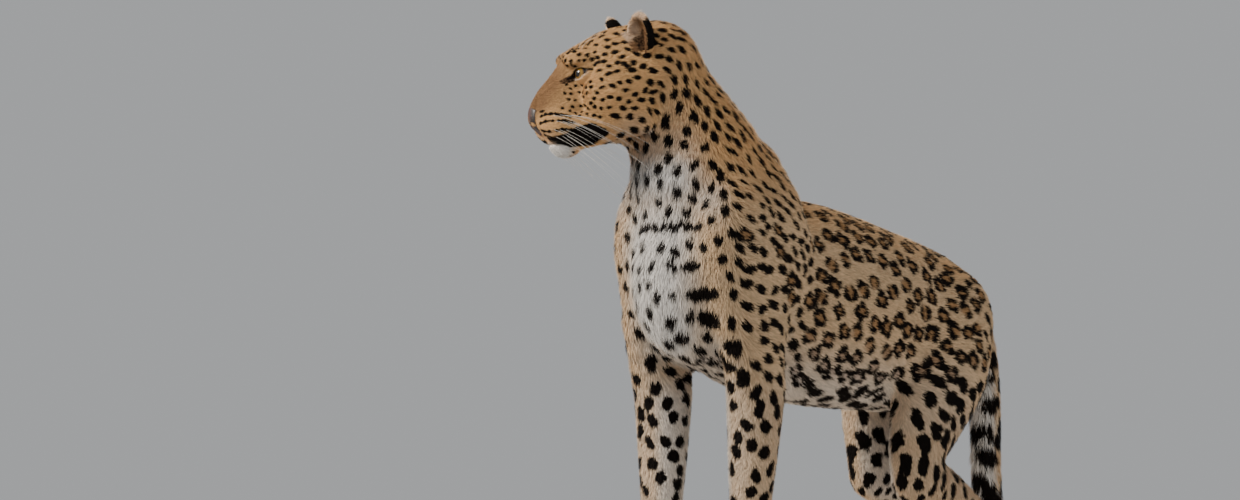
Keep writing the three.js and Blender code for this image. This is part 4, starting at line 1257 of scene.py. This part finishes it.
# %% One skin
SKIN_TONE = 0.35
nets = [(body_points, body_quads, body_normals), (head_points, head_quads, head_normals),
        ears[1], ears[-1]]
skin_all = np.concatenate([points for points, _, _ in nets])
normals_all = np.concatenate([normals for _, _, normals in nets])
first_corners = np.cumsum([0] + [len(points) for points, _, _ in nets])
faces_all = np.concatenate([quads + first for (_, quads, _), first in zip(nets, first_corners)])
skin = mesh_object("skin", skin_all, faces_all, skin_coat)
colours = ear_paint(skin_all, paint(skin_all, normals_all))
for name, values in colours.items():
    store(skin, name, values)
store(skin, "flank", flank(skin_all, normals_all))
store(skin, "tone", np.full(len(skin_all), SKIN_TONE))
flesh_nodes = [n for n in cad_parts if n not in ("eye_left", "eye_right", "nose")]
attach(skin, "root")
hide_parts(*flesh_nodes)
print("skin faces", len(skin.data.polygons))

# %% [markdown]
# ## Fur
# Each tuft is a narrow blade with one bend: its root on the skin, its tip leaning the way the coat
# lies. Hair made of strands would look finer, but strands aren't a mesh, and the coat has to be one.
# Roots are drawn on the faces of the skin by area, closer on the face than on the body. A blade has
# one colour, that of the marks under its middle, so the edges of the spots break up like real hair.


# %% Roots of the tufts
def draw_roots(keep, count_per_mm2, seed):
    """Random places on the squares of the skin that keep() picks, with their normals."""
    draw = np.random.default_rng(seed)
    quads = faces_all[keep(skin_all[faces_all].mean(1))]
    a, b, c, d = (skin_all[quads[:, k]] for k in range(4))
    area = (np.linalg.norm(np.cross(b - a, c - a), axis=1)
            + np.linalg.norm(np.cross(c - a, d - a), axis=1)) / 2
    wanted = int(area.sum() * count_per_mm2)
    chosen = quads[draw.choice(len(quads), wanted, p=area / area.sum())]
    s, t = draw.uniform(size=(2, wanted, 1))
    weights = np.stack([(1 - s) * (1 - t), s * (1 - t), s * t, (1 - s) * t], 1)
    place = (skin_all[chosen] * weights).sum(1)
    normal = (normals_all[chosen] * weights).sum(1)
    return place, normal / np.linalg.norm(normal, axis=1)[:, None], draw


# %% Length of the hair
BACK_HAIR = 15
WHITE_LONGER = 13
HEAD_HAIR = 8
LEG_HAIR = 9
PAW_HAIR = 5
MUZZLE_SHORTER = 3.5
TAIL_LONGER = 4
TIPS_STAND = 0.92  # of the depth of the coat


def hair_length(points, normals):
    """Length of the hair and how high its tips stand, in millimetres."""
    head = headness(points)
    under = underness(points, normals)
    legs = legness(points)
    length = BACK_HAIR + WHITE_LONGER * under * (1 - legs) * (1 - head)
    length = length * (1 - head) + HEAD_HAIR * head
    length = length * (1 - legs) + LEG_HAIR * legs
    length = np.where(points[:, 2] < PAW_TOP, PAW_HAIR, length)
    length = length - MUZZLE_SHORTER * muzzleness(points) + TAIL_LONGER * tailness(points)
    return length, coat_depth(points, normals) * TIPS_STAND


longest = BACK_HAIR + WHITE_LONGER + TAIL_LONGER
print("hair from", HEAD_HAIR - MUZZLE_SHORTER, "to", longest, "mm, before each tuft varies")


# %% Unrolled place of a tuft
def unwrap(points, axis_start, axis_end):
    """Place on an unrolled tube round an axis, between 0 and 1 both ways."""
    axis = axis_end - axis_start
    length = np.linalg.norm(axis)
    axis = axis / length
    d = points - axis_start
    along = d @ axis
    square = d - along[:, None] * axis
    first = np.cross(axis, (0.0, 0.0, 1.0)) if abs(axis[2]) < 0.9 else np.array([1.0, 0, 0])
    first = first / np.linalg.norm(first)
    second = np.cross(axis, first)
    angle = np.arctan2(square @ second, square @ first) / math.tau + 0.5
    span = along.max() - along.min()
    return np.stack([0.02 + 0.95 * angle, 0.02 + 0.95 * (along - along.min()) / span], 1)


# %% One piece of fur
# triangles between the corners of a tuft: two at its root, two at its bend, one at its tip
BLADE = np.array([[0, 1, 3], [0, 3, 2], [2, 3, 4]])
# where these corners lie on its small square of the unrolled coat
BLADE_PICTURE = np.array([[0, 0], [1, 0], [0.1, 0.5], [0.9, 0.5], [0.5, 1]]) * 0.003
ROOT_SUNK = 0.8
LOWEST_HAIR = 0.4


def fur(name, keep, density, width, seed, axis):
    """Tufts on the part of the skin that keep() picks, so many to the square millimetre."""
    place, normal, draw = draw_roots(keep, density, seed)
    count = len(place)
    way = lie(place, normal)
    length, height = hair_length(place, normal)
    length = length * draw.uniform(0.7, 1.2, count)
    height = height * draw.uniform(0.45, 1.08, count)
    height = np.minimum(height, length * 0.75)
    across = np.cross(normal, way)
    swing = draw.normal(0, 0.2, count)[:, None]
    way = way * np.cos(swing) + across * np.sin(swing)
    across = np.cross(normal, way)
    run = np.sqrt(np.maximum(length**2 - height**2, 0))[:, None]
    height = height[:, None]
    half = (width * draw.uniform(0.7, 1.25, count) / 2)[:, None]
    sink = normal * ROOT_SUNK
    middle = place + way * run * 0.45 + normal * height * 0.72
    tip = place + way * run + normal * height
    corners = np.stack([place - across * half - sink, place + across * half - sink,
                        middle - across * half * 0.8, middle + across * half * 0.8, tip], 1)
    points = corners.reshape(-1, 3)
    points[:, 2] = np.maximum(points[:, 2], LOWEST_HAIR)
    first = np.arange(count)[:, None, None] * corners.shape[1]
    triangles = (first + BLADE).reshape(-1, 3)
    piece = mesh_object(name, points, triangles, tuft_coat)
    seen_at = place + way * run * 0.55
    colours = ear_paint(seen_at, paint(seen_at, normal))
    colours["flank"] = flank(seen_at, normal)
    colours["tone"] = draw.uniform(0, 1, count)
    for key, values in colours.items():
        store(piece, key, np.repeat(values, corners.shape[1]))
    uv = (unwrap(place, *axis)[:, None] + BLADE_PICTURE).reshape(-1, 2)
    layer = piece.data.uv_layers.new(name="OFBake")
    layer.data.foreach_set("uv", uv[triangles.ravel()].astype(np.float32).ravel())
    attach(piece, "root")
    print(name, count, "tufts", len(piece.data.polygons), "triangles")


# %% Where each piece of fur lies
FLANK_FROM = -110


def on_head(p):
    return ahead_of_neck(p) > 3


def on_neck(p):
    return ~on_head(p) & (p[:, 2] > 600 + 0.45 * (p[:, 1] + 330)) & (p[:, 1] < -120)


def on_tail(p):
    return (p[:, 1] > 396) & (np.abs(p[:, 0]) < 46)


def on_fore_leg(p):
    return (p[:, 2] < 352) & (p[:, 1] < -190)


def on_hind_leg(p):
    return (p[:, 2] < 330) & (np.abs(p[:, 0]) > 30) & (p[:, 1] > 30) & ~on_tail(p)


def on_trunk(p):
    return ~(on_head(p) | on_neck(p) | on_tail(p) | on_fore_leg(p) | on_hind_leg(p))


def on_shoulders(p):
    return on_trunk(p) & (p[:, 1] < FLANK_FROM)


def on_flank(p):
    return on_trunk(p) & (p[:, 1] >= FLANK_FROM)


def one_side(region, side):
    """The left (1) or the right (-1) half of a region."""
    return lambda p: region(p) & ((p[:, 0] >= 0) == (side > 0))


def face_side(side):
    return lambda p: on_head(p) & ((to_head(p)[:, 1] >= 0) == (side > 0))


# %% Coat, piece by piece
BODY_AXIS = (np.array([0.0, -400, 520]), np.array([0.0, 400, 460]))
NECK_AXIS = (np.array([0.0, -290, 560]), np.array([-40.0, -390, 900]))
HEAD_AXIS = (from_head((-60, 0, 0)), from_head((150, 0, -60)))
TAIL_AXIS = (np.array([0.0, 420, 500]), np.array([0.0, 600, 0]))
DENSITY = 0.27
WIDTH = 1.5


def leg_axis(x, y_top, y_foot):
    return (np.array([x, y_top, 420.0]), np.array([x, y_foot, 0.0]))


COAT = [
    ("fur_face_left", face_side(1), 0.62, 0.8, HEAD_AXIS),
    ("fur_face_right", face_side(-1), 0.5, 0.9, HEAD_AXIS),
    ("fur_neck", on_neck, DENSITY, WIDTH, NECK_AXIS),
    ("fur_shoulders_left", one_side(on_shoulders, 1), DENSITY, WIDTH, BODY_AXIS),
    ("fur_shoulders_right", one_side(on_shoulders, -1), DENSITY, WIDTH, BODY_AXIS),
    ("fur_flank_left", one_side(on_flank, 1), DENSITY, WIDTH, BODY_AXIS),
    ("fur_flank_right", one_side(on_flank, -1), DENSITY, WIDTH, BODY_AXIS),
    ("fur_tail", on_tail, DENSITY, WIDTH, TAIL_AXIS),
]
for which, side in (("left", 1), ("right", -1)):
    COAT.append((f"fur_foreleg_{which}", one_side(on_fore_leg, side), 0.34, 1.3,
                 leg_axis(80.0 * side, -290.0, -310.0)))
    COAT.append((f"fur_hindleg_{which}", one_side(on_hind_leg, side), 0.3, 1.3,
                 leg_axis(85.0 * side, 150.0, 330.0)))
for seed, (name, keep, density, width, axis) in enumerate(COAT):
    fur(name, keep, density, width, 100 + seed, axis)

# %% [markdown]
# ## Eyes
# A leopard's eye is a wet ball with an amber iris, darker towards its rim, and a round pupil. The
# cornea swells a little, which gives the highlight. The colour depends only on the angle from the
# line of sight, so that angle is stored on the mesh and a ramp of colours reads it.

# %% Colours of the eye
PUPIL = (0.004, 0.003, 0.003, 1)
EYE_COLOURS = [  # share of a right angle from the line of sight, colour
    (0.0, PUPIL), (0.2, PUPIL),
    (0.225, (0.20, 0.10, 0.02, 1)), (0.36, (0.36, 0.20, 0.035, 1)), (0.47, (0.14, 0.07, 0.015, 1)),
    (0.5, (0.012, 0.008, 0.006, 1)), (0.62, (0.03, 0.02, 0.015, 1)), (0.8, (0.35, 0.28, 0.22, 1)),
]
eye_material, nodes, links, shader = new_material("wet_eye", 0.06)
angle_ramp = nodes.new("ShaderNodeValToRGB")
links.new(stored(nodes, "from_sight"), angle_ramp.inputs["Fac"])
while len(angle_ramp.color_ramp.elements) < len(EYE_COLOURS):
    angle_ramp.color_ramp.elements.new(0.5)
for element, (place, colour) in zip(angle_ramp.color_ramp.elements, EYE_COLOURS):
    element.position = place
    element.color = colour
links.new(angle_ramp.outputs["Color"], shader.inputs["Base Color"])
shader.inputs["Coat Weight"].default_value = 1.0
shader.inputs["Coat Roughness"].default_value = 0.02
print("eye colours", len(EYE_COLOURS))

# %% Eyeballs
EYE_RINGS = 40
EYE_SPOKES = 48
CORNEA = 1.3
EYE_GAP = 0.3  # the ball is this much smaller than its solid, apart from the cornea


def eyeball(side):
    """Corners, squares and angle from the line of sight of a ball with a swollen cornea."""
    polar = np.linspace(0, math.pi, EYE_RINGS + 1)
    turn = np.linspace(0, math.tau, EYE_SPOKES, endpoint=False)
    theta, phi = np.meshgrid(polar, turn, indexing="ij")
    local = np.stack([np.cos(theta), np.sin(theta) * np.cos(phi), np.sin(theta) * np.sin(phi)], -1)
    swell = EYE_RADIUS - EYE_GAP + CORNEA * np.exp(-((theta / 0.55) ** 4)) - CORNEA * 0.6
    local = (local * swell[..., None]).reshape(-1, 3)
    sight = np.array([math.cos(EYE_LOOK), math.sin(EYE_LOOK) * side, 0])
    outward = np.array([-math.sin(EYE_LOOK) * side, math.cos(EYE_LOOK), 0])
    basis = np.array([sight, outward, (0, 0, 1)])
    quads = []
    for ring in range(EYE_RINGS):
        for spoke in range(EYE_SPOKES):
            a = ring * EYE_SPOKES + spoke
            b = ring * EYE_SPOKES + (spoke + 1) % EYE_SPOKES
            quads.append((a, b, b + EYE_SPOKES, a + EYE_SPOKES))
    return from_head(local @ basis + EYE_AT * (1, side, 1)), np.array(quads), theta.ravel()


for name, side in (("eye_left", 1), ("eye_right", -1)):
    points, quads, from_sight = eyeball(side)
    eye = mesh_object(f"{name}_ball", points, quads, eye_material)
    store(eye, "from_sight", from_sight / math.pi * 2)
    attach(eye, "root")
    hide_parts(name)
    print(name, len(quads), "faces")

# %% [markdown]
# ## Nose leather
# The nose is bare, finely pebbled skin, dark at the sides and at the nostrils and browner in front,
# with a nostril each side that curls outward. It is its own net, a little proud of the furred skin.

# %% Shape of the nose
NOSE_AT = np.array([172.0, 0.0, -84.0])
NOSE_TILT = math.radians(32)
NOSE_BACK = 158
NOSE_HALF_WIDTH = 17.5
NOSE_HALF_HEIGHT = 15.5
NOSE_COAT = 0.4
NOSTRIL_AT = np.array([174.0, 9.5, -89.0])
NOSTRIL_TURN = math.radians(35)
NOSTRIL = (11, 3.6, 3.4)
NOSE_CELL = 1.15
NOSE_REACH = 34


def nose_measure(points):
    """The distance to the pad of the nose, with its nostrils and the slit between them."""
    uvw = to_head(points).astype(np.float32)
    folded = np.stack([uvw[:, 0], np.abs(uvw[:, 1]), uvw[:, 2]], 1)
    d = uvw - NOSE_AT
    up = d[:, 2] * math.cos(NOSE_TILT) - d[:, 0] * math.sin(NOSE_TILT)
    width = NOSE_HALF_WIDTH - 0.28 * np.maximum(2 - up, 0) - 0.55 * np.maximum(-up - 6, 0)
    pad = [np.abs(up) - NOSE_HALF_HEIGHT, folded[:, 1] - width, NOSE_BACK - uvw[:, 0]]
    distance = np.maximum(head_distance(points, False) + NOSE_COAT, np.max(pad, 0))
    n = folded - NOSTRIL_AT
    a = n[:, 0] * math.cos(NOSTRIL_TURN) - n[:, 1] * math.sin(NOSTRIL_TURN)
    b = n[:, 0] * math.sin(NOSTRIL_TURN) + n[:, 1] * math.cos(NOSTRIL_TURN)
    long, wide, high = NOSTRIL
    reach = np.sqrt((a / long) ** 2 + (b / wide) ** 2 + (n[:, 2] / high) ** 2)
    hole = reach * high - high
    slit = np.exp(-((uvw[:, 1] / 1.1) ** 2)) * 1.6 * (up < 6)
    return np.maximum(distance, -hole) + slit


nose_middle = from_head(NOSE_AT)
nose_points, nose_quads = net(nose_middle - NOSE_REACH, nose_middle + NOSE_REACH, NOSE_CELL,
                              nose_measure)
print("nose corners", len(nose_points))

# %% Leather of the nose
nose_material, nodes, links, shader = new_material("nose_leather", 0.5)
pebbles = nodes.new("ShaderNodeTexVoronoi")
pebbles.inputs["Scale"].default_value = 900.0
place = nodes.new("ShaderNodeNewGeometry")
links.new(place.outputs["Position"], pebbles.inputs["Vector"])
mottle = noise(nodes, links, 90.0)
leather = mix(nodes, links, mottle, (0.045, 0.02, 0.016, 1), (0.16, 0.07, 0.055, 1))
leather = mix(nodes, links, stored(nodes, "edge"), leather, (0.018, 0.012, 0.011, 1))
links.new(leather, shader.inputs["Base Color"])
add_bump(nodes, links, shader, pebbles.outputs["Distance"], 0.4, 0.0004)
shader.inputs["Coat Weight"].default_value = 0.1

nose = mesh_object("nose_pad", nose_points, nose_quads, nose_material)
u, v, w = to_head(nose_points).T
near_hole = np.linalg.norm(np.stack([u, np.abs(v), w], 1) - NOSTRIL_AT, axis=1)
edge = np.clip(1.3 - near_hole / 10, 0, 1) + ramp(np.abs(v), 6, 13) * 0.95
store(nose, "edge", np.clip(edge, 0, 1))
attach(nose, "root")
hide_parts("nose")
print("nose faces", len(nose.data.polygons))

# %% [markdown]
# ## Whiskers and claws
# Whiskers are stiff tapered hairs rooted in the four rows of the pad, swept back and down, and two
# more stand over each eye. Claws are drawn in, so only a small curved tip shows in the fur of each
# toe. Both are rods that taper along a path: a curve with a bevel would do it too, but here each
# rod ends in a point of its own.


# %% Tapered rods
def rod(path, thick, sides=5):
    """Corners and triangles of a rod along a path that tapers to a point."""
    points, triangles = [], []
    count = len(path)
    for i, at in enumerate(path[:-1]):
        way = path[i + 1] - at
        way = way / np.linalg.norm(way)
        first = np.cross(way, (0.31, 0.52, 0.79))
        first = first / np.linalg.norm(first)
        second = np.cross(way, first)
        radius = thick / 2 * (1 - i / (count - 1)) ** 0.7 + 0.03
        for k in range(sides):
            angle = math.tau * k / sides
            points.append(at + radius * (first * math.cos(angle) + second * math.sin(angle)))
    points.append(path[-1])
    for i in range(count - 2):
        for k in range(sides):
            a, b = i * sides + k, i * sides + (k + 1) % sides
            triangles += [(a, b, b + sides), (a, b + sides, a + sides)]
    tip = len(points) - 1
    for k in range(sides):
        triangles.append(((count - 2) * sides + k, (count - 2) * sides + (k + 1) % sides, tip))
    return np.array(points), np.array(triangles)


def rods(name, paths, thick, material):
    """One piece made of a rod along each path."""
    points, triangles, total = [], [], 0
    for path in paths:
        p, t = rod(path, thick)
        points.append(p)
        triangles.append(t + total)
        total += len(p)
    piece = mesh_object(name, np.concatenate(points), np.concatenate(triangles), material)
    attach(piece, "root")
    print(name, len(paths))


# %% Whiskers
WHISKER_THICK = 0.42
WHISKERS_IN_ROW = (4, 4, 3, 3)
WHISKER_LENGTH = 84
BROW_WHISKER_LENGTH = 48
BROW_WHISKERS = 2


def sweep(root, start, bend, length, count):
    """A path from a root on the head that starts one way and bends another."""
    t = np.linspace(0, 1, count)[:, None]
    path = start * length * t + bend * length * t**2
    return root + path @ HEAD_AXES


def pad_whisker(side, row, k):
    """The path of one whisker of the pad."""
    u = 146 - 8 * k - 3 * (row % 2)
    root = head_points[nearest_on_head(u, side * (34 + 1.5 * k), PAD_ROWS[row])]
    length = WHISKER_LENGTH + 16 * k + rng.uniform(-26, 30)
    down = 0.10 + 0.12 * row - rng.uniform(-0.12, 0.12)
    out = np.array([-0.55 - 0.10 * k, side * 0.66, -down])
    drop = rng.uniform(0.25, 0.5)
    bend = np.array([-0.30, -0.06 * side, -drop])
    return sweep(root, out / np.linalg.norm(out), bend, length, 9)


def brow_whisker(side, k):
    """The path of one whisker over the eye."""
    root = head_points[nearest_on_head(104 - 3 * k, side * (26 + 3 * k), 24)]
    start = np.array([-0.1, 0.25 * side, 0.7])
    return sweep(root, start, np.array([-0.7, 0.2 * side, -0.2]), BROW_WHISKER_LENGTH, 8)


whisker_material, nodes, links, shader = new_material("whisker_hair", 0.35)
tint = mix(nodes, links, noise(nodes, links, 60.0), (0.72, 0.68, 0.6, 1), (0.92, 0.9, 0.85, 1))
links.new(tint, shader.inputs["Base Color"])
for side, name in ((1, "whiskers_left"), (-1, "whiskers_right")):
    paths = [pad_whisker(side, row, k)
             for row, count in enumerate(WHISKERS_IN_ROW) for k in range(count)]
    paths += [brow_whisker(side, k) for k in range(BROW_WHISKERS)]
    rods(name, paths, WHISKER_THICK, whisker_material)

# %% Claws
CLAW_THICK = 5.0
CLAW_AHEAD = 19
CLAW_CURVE = ((6, 20), (0, 19), (-4, 15), (-5.5, 10))  # back and up from the tip of the toe
claw_material, nodes, links, shader = new_material("claw_horn", 0.3)
horn = mix(nodes, links, noise(nodes, links, 300.0), (0.20, 0.15, 0.11, 1), (0.45, 0.37, 0.28, 1))
links.new(horn, shader.inputs["Base Color"])
paws = [(FORE_PAWS["left"], FORE_PAW[0]), (FORE_PAWS["right"], FORE_PAW[0]),
        (HIND_PAWS["left"], HIND_PAW[0]), (HIND_PAWS["right"], HIND_PAW[0])]
claw_paths = [np.array([(x, y - CLAW_AHEAD + back, z) for back, z in CLAW_CURVE])
              for at, width in paws for x, y in toe_places(at, width)]
rods("claws", claw_paths, CLAW_THICK, claw_material)

# %% [markdown]
# ## Floor, light and camera
# The floor is a plain pale disc. The main light is large and soft and stands ahead of the animal on
# its right, a broad weak one fills in from its left, and a warm one behind it on the right catches
# the edge of the coat. The camera stands low, looks level and sees the animal from its front left,
# and its picture ends above the paws.

# %% Floor and surrounding light
FLOOR_RADIUS = 1.1
bpy.ops.mesh.primitive_circle_add(vertices=128, radius=FLOOR_RADIUS, fill_type="NGON")
floor = bpy.context.object
floor.name = "floor"
floor_material, nodes, links, shader = new_material("pale_floor", 0.8)
shader.inputs["Base Color"].default_value = (0.62, 0.61, 0.59, 1)
floor.data.materials.append(floor_material)

world = bpy.data.worlds.new("studio")
bpy.context.scene.world = world
world.use_nodes = True
surround = world.node_tree.nodes["Background"]
surround.inputs["Color"].default_value = (0.86, 0.88, 0.90, 1)
surround.inputs["Strength"].default_value = 0.46
print("floor", 2 * FLOOR_RADIUS, "m across")


# %% Lights
def area_light(name, place, target, size, power, colour):
    """A round lamp that is turned to its target."""
    data = bpy.data.lights.new(name, "AREA")
    data.shape = "DISK"
    data.size = size
    data.energy = power
    data.color = colour
    light = bpy.data.objects.new(name, data)
    light.location = place
    light.rotation_euler = (Vector(target) - Vector(place)).to_track_quat("-Z", "Y").to_euler()
    bpy.context.scene.collection.objects.link(light)


area_light("key", (-2.0, -3.2, 2.6), (0, -0.2, 0.6), 1.4, 185, (1.0, 0.93, 0.84))
area_light("fill", (4.2, -0.8, 1.8), (0, 0, 0.5), 2.6, 40, (1.0, 0.96, 0.9))
area_light("edge", (-1.8, 3.4, 1.9), (0, 0, 0.7), 1.2, 170, (1.0, 0.76, 0.5))
print("lights", len(bpy.data.lights))

# %% Camera
CAMERA_AZIMUTH = math.radians(40)
CAMERA_AWAY = 8280.0
CAMERA_HEIGHT = 585.0
CAMERA_ASIDE = -334.4
FOCAL_PIXELS = 5085.0
PICTURE_WIDTH = 1240
SENSOR = 36.0

right = np.array([math.cos(CAMERA_AZIMUTH), math.sin(CAMERA_AZIMUTH), 0])
into = np.array([-math.sin(CAMERA_AZIMUTH), math.cos(CAMERA_AZIMUTH), 0])
eye_point = -into * CAMERA_AWAY + right * CAMERA_ASIDE + np.array([0, 0, CAMERA_HEIGHT]) + SHIFT
camera_data = bpy.data.cameras.new("camera")
camera_data.sensor_width = SENSOR
camera_data.lens = FOCAL_PIXELS / PICTURE_WIDTH * SENSOR
camera_data.clip_end = 60  # metres
camera = bpy.data.objects.new("camera", camera_data)
camera.location = eye_point * MM
camera.rotation_euler = (math.pi / 2, 0, CAMERA_AZIMUTH)
bpy.context.scene.collection.objects.link(camera)
bpy.context.scene.camera = camera
print("lens", round(camera_data.lens, 1), "mm")
